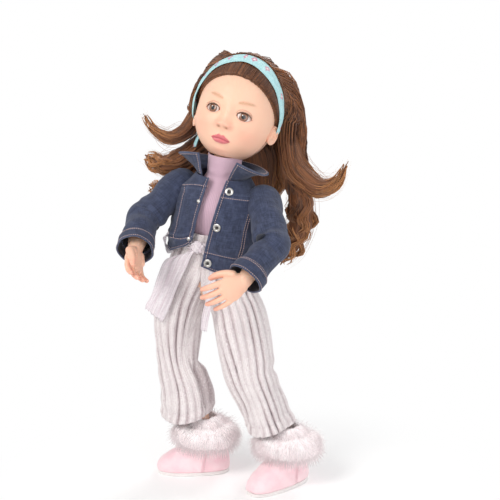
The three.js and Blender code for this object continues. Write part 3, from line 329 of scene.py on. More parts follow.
def cloth(name, P, thick, material, wrap=True, values=None, lining=None):
    """A cloth of even thickness whose middle runs through the points P[row, column], with UVs in metres."""
    rows, cols = P.shape[:2]
    n = normals_of(P, wrap) * thick * 0.5
    across, down = run_lengths(P, wrap)
    quads, rr, cc = grid_quads(rows, cols, wrap)
    layer = rows * cols
    points = np.concatenate([(P + n).reshape(-1, 3), (P - n).reshape(-1, 3)])
    uv_of = lambda r, c: np.stack([across[c], down[r]], -1)
    faces = [quads, quads[:, ::-1] + layer]
    uvs = [uv_of(rr, cc), uv_of(rr, cc)[:, ::-1]]
    for row, flip in ((0, 1), (rows - 1, 0)):
        c = np.arange(cols if wrap else cols - 1)
        a, b = row * cols + c, row * cols + (c + 1) % cols
        f = np.stack([a, b, b + layer, a + layer], 1)
        u = np.stack([uv_of(np.full_like(c, row), c), uv_of(np.full_like(c, row), c + 1)] * 2, 1)[:, [0, 1, 3, 2]]
        faces.append(f[:, ::-1] if flip else f)
        uvs.append(u[:, ::-1] if flip else u)
    if not wrap:
        for col, flip in ((0, 0), (cols - 1, 1)):
            r = np.arange(rows - 1)
            a, b = r * cols + col, (r + 1) * cols + col
            f = np.stack([a, b, b + layer, a + layer], 1)
            u = np.stack([uv_of(r, np.full_like(r, col)), uv_of(r + 1, np.full_like(r, col))] * 2, 1)[:, [0, 1, 3, 2]]
            faces.append(f[:, ::-1] if flip else f)
            uvs.append(u[:, ::-1] if flip else u)
    faces, uv = outward(np.concatenate(faces), points, np.concatenate(uvs))
    values = {k: np.tile(np.asarray(v).ravel(), 2) for k, v in (values or {}).items()}
    obj = to_object(name, points, faces, material, uv, values)
    if lining:
        reach = [np.linalg.norm(side - side.mean(1, keepdims=True), axis=2).mean() for side in (P + n, P - n)]
        first = 0 if reach[0] < reach[1] else len(quads)
        index = np.zeros(len(faces), np.int32)
        index[first:first + len(quads)] = 1
        obj.data.materials.append(lining)
        obj.data.polygons.foreach_set("material_index", index)
    return obj


def capped(P):
    """Points of rings with a centre point at each end, and the fans of faces that close the ends."""
    rows, cols = P.shape[:2]
    c, last = np.arange(cols), (rows - 1) * cols
    low = np.stack([(c + 1) % cols, c, np.full(cols, rows * cols)], 1)
    high = np.stack([last + c, last + (c + 1) % cols, np.full(cols, rows * cols + 1)], 1)
    return np.concatenate([P.reshape(-1, 3), [P[0].mean(0), P[-1].mean(0)]]), low, high


def closed_loft(name, P, material, values=None):
    """A closed body through rings P[row, column], with a centre point at each end."""
    rows, cols = P.shape[:2]
    across, down = run_lengths(P, True)
    quads, rr, cc = grid_quads(rows, cols, True)
    points, low, high = capped(P)
    c = np.arange(cols)
    uv = np.stack([across[cc], down[rr]], -1).reshape(-1, 2)
    uv_low = np.stack([across[c + 1], across[c], across[c]], 1)[..., None] * [1, 0]
    uv_high = np.stack([across[c], across[c + 1], across[c]], 1)[..., None] * [1, 0] + [0, down[-1]]
    a, b, d, e = (points[quads[:, k]] for k in range(4))
    if (a * np.cross(b, d)).sum() + (a * np.cross(d, e)).sum() < 0:
        quads, low, high = quads[:, ::-1], low[:, ::-1], high[:, ::-1]
        uv = uv.reshape(-1, 4, 2)[:, ::-1].reshape(-1, 2)
        uv_low, uv_high = uv_low[:, ::-1], uv_high[:, ::-1]
    faces = quads.tolist() + low.tolist() + high.tolist()
    uvs = np.concatenate([uv, uv_low.reshape(-1, 2), uv_high.reshape(-1, 2)])
    if values:
        values = {k: np.concatenate([np.asarray(v).ravel(), [np.asarray(v)[0].mean(), np.asarray(v)[-1].mean()]])
                  for k, v in values.items()}
    return to_object(name, points, faces, material, uvs, values)


def tube(path, radii, sides=12, start=(1, 0, 0)):
    """Rings round a path; each radius is one number or a pair, and the ring's first side keeps its direction."""
    path = np.asarray(path, float)
    axis = unit(np.gradient(path, axis=0))
    rings, a = [], np.asarray(start, float)
    angles = steps_round(sides)
    for p, t, r in zip(path, axis, radii):
        a = unit(a - t * (a @ t))
        b = np.cross(t, a)
        ra, rb = (r if np.ndim(r) else (r, r))
        rings.append(p + np.outer(np.cos(angles) * ra, a) + np.outer(np.sin(angles) * rb, b))
    return np.array(rings)


def spline(points, count):
    """A smooth curve through points (Catmull-Rom, even steps of its own parameter)."""
    q = np.asarray(points, float)
    q = np.concatenate([[2 * q[0] - q[1]], q, [2 * q[-1] - q[-2]]])
    t = np.linspace(0, len(points) - 1, count)
    i = np.minimum(t.astype(int), len(points) - 2)
    f = (t - i)[:, None] if q.ndim > 1 else t - i
    p0, p1, p2, p3 = q[i], q[i + 1], q[i + 2], q[i + 3]
    return 0.5 * (2 * p1 + (p2 - p0) * f + (2 * p0 - 5 * p1 + 4 * p2 - p3) * f**2
                  + (3 * p1 - p0 - 3 * p2 + p3) * f**3)


def table_at(table, z):
    """Columns of a table of stations, read at heights z."""
    t = np.asarray(table, float)
    return [np.interp(z, t[:, 0], t[:, k]) for k in range(1, t.shape[1])]


# Shader nodes

def srgb(r, g, b):
    c = np.array([r, g, b]) / 255
    return (*np.where(c <= 0.04045, c / 12.92, ((c + 0.055) / 1.055) ** 2.4).tolist(), 1.0)


class Sheet:
    """A node tree that is written one node at a time; a value may be a number, a colour or another node's output."""

    def __init__(self, tree):
        self.tree = tree

    def node(self, kind, inputs=(), out=0, **settings):
        n = self.tree.nodes.new("ShaderNode" + kind)
        for key, value in settings.items():
            setattr(n, key, value)
        for key, value in dict(inputs).items():
            socket = n.inputs[key]
            if isinstance(value, bpy.types.NodeSocket):
                self.tree.links.new(value, socket)
            else:
                socket.default_value = value
        return n.outputs[out]

    def math(self, operation, a, b=0.0, c=0.0):
        return self.node("Math", {0: a, 1: b, 2: c}, operation=operation)

    def times(self, a, b):
        return self.math("MULTIPLY", a, b)

    def plus(self, a, b):
        return self.math("ADD", a, b)

    def times_plus(self, a, b, c):
        return self.math("MULTIPLY_ADD", a, b, c)

    def ramp(self, value, low, high, to_low=0.0, to_high=1.0):
        return self.node("MapRange", {"Value": value, "From Min": low, "From Max": high, "To Min": to_low,
                                      "To Max": to_high}, interpolation_type="SMOOTHSTEP")

    def mix(self, factor, a, b, blend="MIX"):
        return self.node("Mix", {"Factor": factor, 6: a, 7: b}, out=2, data_type="RGBA", blend_type=blend)

    def attribute(self, name):
        return self.node("Attribute", attribute_name=name, out=2)

    def coordinates(self, which="Object", scale=(1, 1, 1), turned=(0, 0, 0), shift=(0, 0, 0)):
        source = self.node("TexCoord", out=which)
        return self.node("Mapping", {"Vector": source, "Scale": scale, "Rotation": turned, "Location": shift})

    def noise(self, vector, scale, detail=3.0, rough=0.5, out=0):
        return self.node("TexNoise", {"Vector": vector, "Scale": scale, "Detail": detail, "Roughness": rough},
                         out=out)

    def bump(self, height, strength=0.5, distance=0.0005):
        return self.node("Bump", {"Height": height, "Strength": strength, "Distance": distance})


def new_group(name, numbers, outputs):
    """A shader group with numbered inputs {name: default} and outputs {name: kind}."""
    tree = bpy.data.node_groups.new(name, "ShaderNodeTree")
    for key, value in numbers.items():
        tree.interface.new_socket(key, in_out="INPUT", socket_type="NodeSocketFloat").default_value = value
    for key, kind in outputs.items():
        tree.interface.new_socket(key, in_out="OUTPUT", socket_type="NodeSocket" + kind)
    sheet = Sheet(tree)
    return sheet, tree.nodes.new("NodeGroupInput").outputs, tree.nodes.new("NodeGroupOutput").inputs


def weave_group():
    """Crossed threads on the UV map: Pitch is one thread in metres, Slant turns plain weave into twill."""
    s, given, result = new_group("weave", {"Pitch": 0.0008, "Slant": 0.0, "Slub": 0.5},
                                 {"Height": "Float", "Tone": "Float"})
    parts = s.node("SeparateXYZ", {0: s.coordinates("UV")}).node.outputs
    u, v = s.math("DIVIDE", parts[0], given["Pitch"]), s.math("DIVIDE", parts[1], given["Pitch"])
    across = s.math("SINE", s.times(s.plus(u, s.times(v, given["Slant"])), pi))
    along = s.math("SINE", s.times(v, pi))
    height = s.times_plus(across, 0.5, s.times_plus(along, 0.25, 0.5))
    slub = s.noise(s.coordinates("UV", scale=(900, 90, 1)), 1.0, 2.0)
    slub2 = s.noise(s.coordinates("UV", scale=(110, 700, 1)), 1.0, 2.0)
    tone = s.times(s.plus(slub, slub2), 0.5)
    s.tree.links.new(height, result["Height"])
    s.tree.links.new(s.times_plus(s.math("SUBTRACT", tone, 0.5), given["Slub"], 0.5), result["Tone"])
    return s.tree


def rib_group():
    """Knitted ribs down the cloth, each rib a column of small loops."""
    s, given, result = new_group("ribs", {"Pitch": 0.0012, "Loop": 0.0009}, {"Height": "Float", "Groove": "Float"})
    parts = s.node("SeparateXYZ", {0: s.coordinates("UV")}).node.outputs
    phase = s.times(s.math("DIVIDE", parts[0], given["Pitch"]), 2 * pi)
    rib = s.math("COSINE", phase)
    loop = s.math("SINE", s.plus(s.times(s.math("DIVIDE", parts[1], given["Loop"]), 2 * pi),
                                 s.math("ABSOLUTE", s.times(rib, 1.5))))
    s.tree.links.new(s.times_plus(rib, 0.4, s.times_plus(loop, 0.12, 0.5)), result["Height"])
    s.tree.links.new(s.ramp(rib, -1.0, -0.3, 1.0, 0.0), result["Groove"])
    return s.tree


def fleck_group():
    """Small bright flecks strewn over the cloth."""
    s, given, result = new_group("flecks", {"Size": 0.0008, "Share": 0.2}, {"Mask": "Float", "Shade": "Float"})
    point = s.node("VectorMath", {0: s.coordinates("Object"), "Scale": 1.0}, operation="SCALE")
    s.tree.links.new(s.math("DIVIDE", 1.0, given["Size"]), point.node.inputs["Scale"])
    cells = s.node("TexVoronoi", {"Vector": point, "Scale": 1.0}, out="Color")
    parts = s.node("SeparateColor", {0: cells}).node.outputs
    s.tree.links.new(s.math("GREATER_THAN", parts[0], s.math("SUBTRACT", 1.0, given["Share"])), result["Mask"])
    s.tree.links.new(parts[1], result["Shade"])
    return s.tree


def mottle_group():
    """Soft uneven tone over a surface, large and small."""
    s, given, result = new_group("mottle", {"Scale": 40.0, "Fine": 900.0}, {"Tone": "Float", "Height": "Float"})
    where = s.coordinates("Object")
    large = s.node("TexNoise", {"Vector": where, "Scale": given["Scale"], "Detail": 3.0})
    fine = s.node("TexNoise", {"Vector": where, "Scale": given["Fine"], "Detail": 2.0})
    s.tree.links.new(s.times_plus(large, 0.7, s.times(fine, 0.3)), result["Tone"])
    s.tree.links.new(fine, result["Height"])
    return s.tree


def streak_group():
    """Streaks that run down the UV map, as combed fibres do."""
    s, given, result = new_group("streaks", {"Across": 900.0, "Along": 12.0}, {"Tone": "Float"})
    parts = s.node("SeparateXYZ", {0: s.coordinates("UV")}).node.outputs
    point = s.node("CombineXYZ", {0: s.times(parts[0], given["Across"]), 1: s.times(parts[1], given["Along"])})
    s.tree.links.new(s.noise(point, 1.0, 3.0, 0.6), result["Tone"])
    return s.tree


WEAVE, RIBS, FLECKS, MOTTLE, STREAKS = weave_group(), rib_group(), fleck_group(), mottle_group(), streak_group()


def finish_of(name, color, roughness, **fixed):
    """A material with one Principled shader; fixed sockets are set on the shader itself."""
    material = bpy.data.materials.new(name)
    material.use_nodes = True
    shader = material.node_tree.nodes["Principled BSDF"]
    shader.inputs["Base Color"].default_value = color
    shader.inputs["Roughness"].default_value = roughness
    for key, value in fixed.items():
        shader.inputs[key.replace("_", " ")].default_value = value
    return material, Sheet(material.node_tree), shader


def use(sheet, group, numbers, out):
    n = sheet.tree.nodes.new("ShaderNodeGroup")
    n.node_tree = group
    for key, value in numbers.items():
        n.inputs[key].default_value = value
    return [n.outputs[o] for o in out]


def wire(sheet, shader, **links):
    for key, value in links.items():
        sheet.tree.links.new(value, shader.inputs[key.replace("_", " ")])


# Finishes

SKIN, SKIN_DEEP = srgb(246, 201, 174), srgb(236, 168, 142)
BLUSH, LIP, LIP_DARK, BROW, LASH = srgb(238, 156, 136), srgb(222, 124, 128), srgb(176, 76, 86), srgb(196, 146,
                                                                                                     112), srgb(84,
                                                                                                                54,
                                                                                                                40)


def vinyl_finish(name, face=False):
    m, s, shader = finish_of(name, SKIN, 0.46, Subsurface_Weight=0.12, Subsurface_Scale=0.004,
                             Subsurface_Radius=(1.0, 0.45, 0.3), Specular_IOR_Level=0.35)
    tone, height = use(s, MOTTLE, {"Scale": 22, "Fine": 1800}, ["Tone", "Height"])
    color = s.mix(s.ramp(tone, 0.3, 0.75, 0.0, 0.22), SKIN, SKIN_DEEP)
    color = s.mix(s.attribute("blush"), color, BLUSH)
    rough = s.ramp(tone, 0.2, 0.8, 0.42, 0.52)
    if face:
        color = s.mix(s.attribute("shade"), color, srgb(170, 112, 84))
        hairs = s.noise(s.coordinates("Object", scale=(2600, 300, 900), turned=(0, 0.35, 0)), 1.0, 2.0)
        color = s.mix(s.times(s.attribute("brow"), s.ramp(hairs, 0.3, 0.6, 0.4, 0.8)), color, BROW)
        crease = s.noise(s.coordinates("Object", scale=(900, 200, 160)), 1.0, 3.0)
        lip = s.mix(s.ramp(crease, 0.35, 0.7, 0.0, 0.6), LIP, srgb(214, 116, 122))
        lip = s.mix(s.attribute("lip_line"), lip, LIP_DARK)
        color = s.mix(s.attribute("lip"), color, lip)
        color = s.mix(s.attribute("lash"), color, LASH)
        rough = s.mix(s.attribute("lip"), rough, (0.3, 0.3, 0.3, 1))
    wire(s, shader, Base_Color=color, Roughness=rough, Normal=s.bump(height, 0.12, 0.0002))
    return m


def denim_finish(name="denim", inside=0.0):
    m, s, shader = finish_of(name, srgb(52, 62, 92), 0.88, Sheen_Weight=0.12, Sheen_Roughness=0.6)
    height, tone = use(s, WEAVE, {"Pitch": 0.0007, "Slant": 1.0, "Slub": 1.6}, ["Height", "Tone"])
    large, _ = use(s, MOTTLE, {"Scale": 26, "Fine": 500}, ["Tone", "Height"])
    color = s.mix(s.ramp(tone, 0.2, 0.8), srgb(21, 28, 50), srgb(57, 66, 94))
    color = s.mix(s.ramp(large, 0.35, 0.7, 0.0, 0.5), color, srgb(30, 38, 66))
    color = s.mix(s.times(s.ramp(height, 0.5, 1.1), 0.3), color, srgb(86, 96, 128))
    color = s.mix(s.times(s.attribute("wear"), 0.5), color, srgb(104, 114, 144))
    if inside:
        color = s.mix(inside, color, srgb(14, 15, 22))
    wire(s, shader, Base_Color=color, Normal=s.bump(height, 0.35, 0.0003))
    return m


def thread_finish(name, color):
    m, s, shader = finish_of(name, color, 0.6, Sheen_Weight=0.3)
    twist = s.noise(s.coordinates("Object", scale=(2500, 2500, 2500)), 1.0, 2.0)
    wire(s, shader, Base_Color=s.mix(s.ramp(twist, 0.3, 0.7, 0.0, 0.5), color, srgb(128, 96, 92)),
         Normal=s.bump(twist, 0.5, 0.0002))
    return m


def knit_finish():
    m, s, shader = finish_of("knit_top", srgb(196, 166, 190), 0.8, Sheen_Weight=0.35, Sheen_Roughness=0.5)
    height, groove = use(s, RIBS, {"Pitch": 0.0016, "Loop": 0.0011}, ["Height", "Groove"])
    tone, _ = use(s, MOTTLE, {"Scale": 30, "Fine": 900}, ["Tone", "Height"])
    color = s.mix(s.ramp(tone, 0.3, 0.7, 0.0, 0.5), srgb(214, 182, 198), srgb(192, 154, 172))
    color = s.mix(s.times(groove, 0.35), color, srgb(144, 108, 128))
    wire(s, shader, Base_Color=color, Normal=s.bump(height, 0.5, 0.0004))
    return m


def trouser_finish():
    m, s, shader = finish_of("trouser_knit", srgb(222, 212, 214), 0.7, Sheen_Weight=0.25, Sheen_Roughness=0.4)
    height, groove = use(s, RIBS, {"Pitch": 0.0021, "Loop": 0.0012}, ["Height", "Groove"])
    mask, shade = use(s, FLECKS, {"Size": 0.00075, "Share": 0.22}, ["Mask", "Shade"])
    tone, _ = use(s, MOTTLE, {"Scale": 60, "Fine": 1400}, ["Tone", "Height"])
    color = s.mix(s.ramp(tone, 0.3, 0.75, 0.0, 0.6), srgb(236, 229, 228), srgb(214, 203, 204))
    color = s.mix(s.times(groove, 0.25), color, srgb(160, 142, 148))
    color = s.mix(s.times(s.attribute("fold"), 0.75), color, srgb(160, 140, 144))
    color = s.mix(s.times(mask, 0.75), color, s.mix(shade, srgb(186, 160, 168), srgb(250, 246, 246)))
    wire(s, shader, Base_Color=color, Metallic=s.times(mask, 0.25),
         Roughness=s.times_plus(mask, -0.3, 0.72), Normal=s.bump(height, 0.45, 0.0004))
    return m


def voile_finish():
    m, s, shader = finish_of("sash_voile", srgb(240, 232, 236), 0.5, Sheen_Weight=0.4)
    height, tone = use(s, WEAVE, {"Pitch": 0.0006, "Slant": 0.0, "Slub": 1.0}, ["Height", "Tone"])
    streak, = use(s, STREAKS, {"Across": 700, "Along": 30}, ["Tone"])
    color = s.mix(s.ramp(streak, 0.3, 0.7), srgb(246, 240, 243), srgb(222, 206, 214))
    wire(s, shader, Base_Color=color, Alpha=s.ramp(tone, 0.3, 0.7, 0.72, 0.9), Normal=s.bump(height, 0.3, 0.0002))
    return m


def band_finish():
    """Aqua cotton with a small all-over motif of lozenges and dots."""
    m, s, shader = finish_of("band_cloth", srgb(150, 214, 218), 0.75, Sheen_Weight=0.2)
    height, tone = use(s, WEAVE, {"Pitch": 0.0005, "Slant": 0.0, "Slub": 0.8}, ["Height", "Tone"])
    parts = s.node("SeparateXYZ", {0: s.coordinates("UV", scale=(58, 58, 1))}).node.outputs
    cell_v = s.math("FLOOR", parts[1])
    u = s.plus(parts[0], s.times(cell_v, 0.5))
    du = s.math("ABSOLUTE", s.math("SUBTRACT", s.math("FRACT", u), 0.5))
    dv = s.math("ABSOLUTE", s.math("SUBTRACT", s.math("FRACT", parts[1]), 0.5))
    lozenge = s.ramp(s.plus(du, s.times(dv, 0.8)), 0.26, 0.2)
    centre = s.ramp(s.plus(du, s.times(dv, 0.8)), 0.12, 0.08)
    pick = s.node("TexWhiteNoise", {"Vector": s.node("CombineXYZ", {0: s.math("FLOOR", u), 1: cell_v})}, out="Value")
    shown = s.math("GREATER_THAN", pick, 0.25)
    petal = s.mix(s.ramp(pick, 0.6, 0.8), srgb(206, 132, 160), srgb(120, 130, 190))
    color = s.mix(s.ramp(tone, 0.3, 0.7), srgb(196, 232, 234), srgb(160, 212, 218))
    color = s.mix(s.times(lozenge, s.times(shown, 0.9)), color, petal)
    color = s.mix(s.times(centre, shown), color, srgb(244, 236, 226))
    wire(s, shader, Base_Color=color, Normal=s.bump(height, 0.3, 0.0002))
    return m


def suede_finish():
    m, s, shader = finish_of("boot_suede", srgb(247, 200, 208), 0.9, Sheen_Weight=0.5, Sheen_Roughness=0.5)
    tone, height = use(s, MOTTLE, {"Scale": 70, "Fine": 2200}, ["Tone", "Height"])
    color = s.mix(s.ramp(tone, 0.35, 0.7), srgb(253, 224, 228), srgb(248, 206, 214))
    color = s.mix(s.times(s.attribute("wear"), 0.5), color, srgb(228, 170, 182))
    wire(s, shader, Base_Color=color, Normal=s.bump(height, 0.4, 0.0004))
    return m


def plain_finish(name, color, other, roughness, fine, strength, **fixed):
    """Moulded plastic, rubber or fibre with a mottled tone and grain."""
    m, s, shader = finish_of(name, color, roughness, **fixed)
    tone, height = use(s, MOTTLE, {"Scale": 60, "Fine": fine}, ["Tone", "Height"])
    wire(s, shader, Base_Color=s.mix(s.ramp(tone, 0.3, 0.75), color, other),
         Roughness=s.ramp(tone, 0.2, 0.8, roughness * 0.9, min(1, roughness * 1.1)),
         Normal=s.bump(height, strength, 0.0002))
    return m


def hair_finish(name, dark, light, tip):
    """Dark by the roots and lighter to the tips, each strand with its own shade."""
    m, s, shader = finish_of(name, dark, 0.38, Specular_IOR_Level=0.6)
    shade, along = s.attribute("shade"), s.attribute("along")
    streak = s.noise(s.coordinates("Object", scale=(500, 500, 60)), 1.0, 3.0)
    color = s.mix(s.times_plus(streak, 0.4, s.times_plus(shade, 1.35, -0.42)), dark, light)
    color = s.mix(s.times(s.ramp(along, 0.45, 1.0), s.times_plus(shade, 0.6, 0.3)), color, tip)
    wire(s, shader, Base_Color=color, Roughness=s.ramp(streak, 0.2, 0.8, 0.33, 0.48))
    return m


def scalp_finish(name, dark, light):
    m, s, shader = finish_of(name, dark, 0.5, Specular_IOR_Level=0.4)
    tone, = use(s, STREAKS, {"Across": 1400, "Along": 22}, ["Tone"])
    wire(s, shader, Base_Color=s.mix(s.ramp(tone, 0.3, 0.7), dark, light), Roughness=s.ramp(tone, 0.2, 0.8, 0.4, 0.6),
         Normal=s.bump(tone, 0.6, 0.0006))
    return m


def fur_finish(name, alpha):
    """Fur: its fine fibres let part of the light through."""
    m, s, shader = finish_of(name, srgb(255, 246, 246), 0.9, Specular_IOR_Level=0.1, Alpha=alpha)
    color = s.mix(s.attribute("shade"), srgb(255, 255, 255), srgb(255, 240, 242))
    tone, height = use(s, MOTTLE, {"Scale": 90, "Fine": 900}, ["Tone", "Height"])
    wire(s, shader, Base_Color=s.mix(s.ramp(tone, 0.4, 0.8, 0.0, 0.3), color, srgb(255, 236, 240)),
         Normal=s.bump(height, 0.2, 0.0003))
    return m


def eye_finish():
    """Glazed eye: white, grey-brown iris with radial fibres, dark ring and pupil, by the distance from the gaze."""
    m, s, shader = finish_of("eye_glaze", srgb(235, 230, 224), 0.2, Coat_Weight=0.2, Coat_Roughness=0.03)
    r, angle = s.attribute("gaze"), s.attribute("round")
    fibre = s.noise(s.node("CombineXYZ", {0: s.times(angle, 14.0), 1: s.times(r, 0.6)}), 1.0, 3.0, 0.7)
    white = s.mix(s.ramp(r, 5.0, 9.0), srgb(222, 204, 196), srgb(204, 164, 150))
    iris = s.mix(s.ramp(fibre, 0.35, 0.65), srgb(92, 52, 34), srgb(176, 124, 94))
    iris = s.mix(s.ramp(r, 1.8, 3.4, 0.7, 0.0), iris, srgb(70, 56, 46))
    iris = s.mix(s.ramp(r, 3.9, 4.7), iris, srgb(46, 40, 38))
    color = s.mix(s.ramp(r, 4.6, 5.0), iris, white)
    color = s.mix(s.ramp(r, 2.2, 1.9), color, srgb(14, 12, 12))
    color = s.mix(s.attribute("glint"), color, (1, 1, 1, 1))
    wire(s, shader, Base_Color=color)
    return m


def metal_finish():
    m, s, shader = finish_of("snap_metal", srgb(196, 194, 190), 0.3, Metallic=1.0)
    tone, height = use(s, MOTTLE, {"Scale": 260, "Fine": 3000}, ["Tone", "Height"])
    wire(s, shader, Base_Color=s.mix(s.ramp(tone, 0.35, 0.75), srgb(214, 212, 208), srgb(150, 147, 142)),
         Roughness=s.ramp(tone, 0.2, 0.8, 0.22, 0.4), Normal=s.bump(height, 0.15, 0.0001))
    return m


VINYL, FACE, DENIM = vinyl_finish("vinyl_skin"), vinyl_finish("vinyl_face", True), denim_finish()
INSIDE = denim_finish("denim_inside", 0.8)
THREAD = thread_finish("topstitch_thread", srgb(214, 184, 178))
KNIT, TROUSER, VOILE, BAND, SUEDE = knit_finish(), trouser_finish(), voile_finish(), band_finish(), suede_finish()
RUBBER = plain_finish("sole_rubber", srgb(246, 242, 240), srgb(232, 226, 224), 0.55, 1200, 0.3)
PIN = plain_finish("pin_plastic", srgb(214, 210, 204), srgb(196, 190, 184), 0.5, 900, 0.2)
HAIR = hair_finish("hair_strands", srgb(84, 48, 29), srgb(170, 108, 64), srgb(222, 158, 100))
SCALP = scalp_finish("hair_bed", srgb(72, 42, 27), srgb(134, 84, 50))
FUR, EYE, METAL = fur_finish("fur_pile", 0.36), eye_finish(), metal_finish()
DARK = plain_finish("snap_hollow", srgb(60, 58, 58), srgb(40, 38, 38), 0.6, 900, 0.2)


# Geometry node trees

def geometry_tree(name, inputs):
    """A tree with named inputs {name: (kind, default)} after its Geometry input."""
    tree = bpy.data.node_groups.new(name, "GeometryNodeTree")
    tree.interface.new_socket("Geometry", in_out="INPUT", socket_type="NodeSocketGeometry")
    for key, (kind, value) in inputs.items():
        socket = tree.interface.new_socket(key, in_out="INPUT", socket_type="NodeSocket" + kind)
        if value is not None:
            socket.default_value = value
    tree.interface.new_socket("Geometry", in_out="OUTPUT", socket_type="NodeSocketGeometry")
    given = tree.nodes.new("NodeGroupInput").outputs
    result = tree.nodes.new("NodeGroupOutput").inputs[0]

    def node(kind, inputs=(), out=0, **settings):
        n = tree.nodes.new(kind)
        for key, value in settings.items():
            setattr(n, key, value)
        for key, value in dict(inputs).items():
            if isinstance(value, bpy.types.NodeSocket):
                tree.links.new(value, n.inputs[key])
            else:
                n.inputs[key].default_value = value
        return n.outputs[out]
    return tree, given, result, node


def strand_tree():
    """Edges become tapered round strands; the point attribute "thick" is each point's radius."""
    tree, given, result, node = geometry_tree("strands", {"Sides": ("Int", 4), "Material": ("Material", None)})
    curve = node("GeometryNodeMeshToCurve", {0: given["Geometry"]})
    thick = node("GeometryNodeInputNamedAttribute", {"Name": "thick"}, data_type="FLOAT")
    curve = node("GeometryNodeSetCurveRadius", {"Curve": curve, "Radius": thick})
    ring = node("GeometryNodeCurvePrimitiveCircle", {"Resolution": given["Sides"], "Radius": 1.0})
    sweep = tree.nodes.new("GeometryNodeCurveToMesh")
    tree.links.new(curve, sweep.inputs["Curve"])
    tree.links.new(ring, sweep.inputs["Profile Curve"])
    sweep.inputs["Fill Caps"].default_value = True
    if "Scale" in sweep.inputs:
        tree.links.new(thick, sweep.inputs["Scale"])
    mesh = node("GeometryNodeSetMaterial", {"Geometry": sweep.outputs[0], "Material": given["Material"]})
    tree.links.new(node("GeometryNodeRealizeInstances", {0: mesh}), result)
    return tree


def stitch_tree():
    """Short rounded stitches along a line, one for each pitch."""
    tree, given, result, node = geometry_tree("stitches", {
        "Pitch": ("Float", 0.0024), "Length": ("Float", 0.0017), "Radius": ("Float", 0.00028),
        "Material": ("Material", None)})
    curve = node("GeometryNodeMeshToCurve", {0: given["Geometry"]})
    points = tree.nodes.new("GeometryNodeCurveToPoints")
    points.mode = "LENGTH"
    tree.links.new(curve, points.inputs["Curve"])
    tree.links.new(given["Pitch"], points.inputs["Length"])
    bead = node("GeometryNodeMeshUVSphere", {"Segments": 6, "Rings": 4, "Radius": 1.0})
    half = node("ShaderNodeMath", {0: given["Length"], 1: 0.5}, operation="MULTIPLY")
    size = node("ShaderNodeCombineXYZ", {0: given["Radius"], 1: given["Radius"], 2: half})
    along = node("FunctionNodeAlignEulerToVector", {"Vector": points.outputs["Tangent"]}, axis="Z")
    made = node("GeometryNodeInstanceOnPoints",
                {"Points": points.outputs["Points"], "Instance": bead, "Rotation": along, "Scale": size})
    mesh = node("GeometryNodeRealizeInstances", {0: made})
    tree.links.new(node("GeometryNodeSetMaterial", {"Geometry": mesh, "Material": given["Material"]}), result)
    return tree


def pile_tree():
    """Fur: curved tapered fibres strewn over a surface, each turned and sized a little differently."""
    tree, given, result, node = geometry_tree("pile", {
        "Density": ("Float", 200000.0), "Length": ("Float", 0.009), "Spread": ("Float", 0.5), "Stand": ("Float", 0.5),
        "Seed": ("Int", 3),
        "Material": ("Material", None)})
    strewn = tree.nodes.new("GeometryNodeDistributePointsOnFaces")
    tree.links.new(given["Geometry"], strewn.inputs["Mesh"])
    tree.links.new(given["Density"], strewn.inputs["Density"])
    tree.links.new(given["Seed"], strewn.inputs["Seed"])
    jitter = node("FunctionNodeRandomValue", {"Min": (-1, -1, -1), "Max": (1, 1, 1), "Seed": given["Seed"]},
                  data_type="FLOAT_VECTOR")
    leaning = node("ShaderNodeVectorMath", {0: jitter, "Scale": given["Spread"]}, operation="SCALE")
    standing = node("ShaderNodeVectorMath", {0: strewn.outputs["Normal"], "Scale": given["Stand"]}, operation="SCALE")
    hanging = node("ShaderNodeVectorMath", {0: standing, 1: (0, 0, -0.8)}, operation="ADD")
    away = node("ShaderNodeVectorMath", {0: hanging, 1: leaning}, operation="ADD")
    rotation = node("FunctionNodeAlignEulerToVector", {"Vector": away}, axis="Z")
    size = tree.nodes.new("FunctionNodeRandomValue")
    size.data_type = "FLOAT"
    size.inputs[2].default_value, size.inputs[3].default_value = 0.55, 1.15
    long = node("ShaderNodeMath", {0: size.outputs[1], 1: given["Length"]}, operation="MULTIPLY")
    fibre = node("GeometryNodeMeshCone",
                 {"Vertices": 3, "Side Segments": 1, "Radius Top": 0.003, "Radius Bottom": 0.018, "Depth": 1.0},
                 fill_type="NONE")
    made = node("GeometryNodeInstanceOnPoints",
                {"Points": strewn.outputs["Points"], "Instance": fibre, "Rotation": rotation, "Scale": long})
    tone = tree.nodes.new("FunctionNodeRandomValue")
    tone.data_type = "FLOAT"
    tone.inputs[2].default_value, tone.inputs[3].default_value = 0.0, 1.0
    named = node("GeometryNodeStoreNamedAttribute", {"Geometry": made, "Name": "shade", "Value": tone.outputs[1]},
                 data_type="FLOAT", domain="INSTANCE")
    mesh = node("GeometryNodeRealizeInstances", {0: named})
    tree.links.new(node("GeometryNodeSetMaterial", {"Geometry": mesh, "Material": given["Material"]}), result)
    return tree


STRAND_TREE, STITCH_TREE, PILE_TREE = strand_tree(), stitch_tree(), pile_tree()


def frozen(source, name):
    """The plain mesh that an object's modifiers make of it; the object is used up."""
    bpy.context.view_layer.update()
    mesh = bpy.data.meshes.new_from_object(source.evaluated_get(bpy.context.evaluated_depsgraph_get()))
    mesh.name = name
    old = source.data
    bpy.data.objects.remove(source)
    bpy.data.meshes.remove(old)
    return mesh


def grown(name, source, tree, **values):
    """The plain mesh that a tree grows on a source object, which is used up."""
    modifier = source.modifiers.new("grow", "NODES")
    modifier.node_group = tree
    for item in tree.interface.items_tree:
        if item.item_type == "SOCKET" and item.in_out == "INPUT" and item.name in values:
            modifier[item.identifier] = values[item.name]
    mesh = frozen(source, name)
    mesh.shade_smooth()
    return linked(name, mesh)


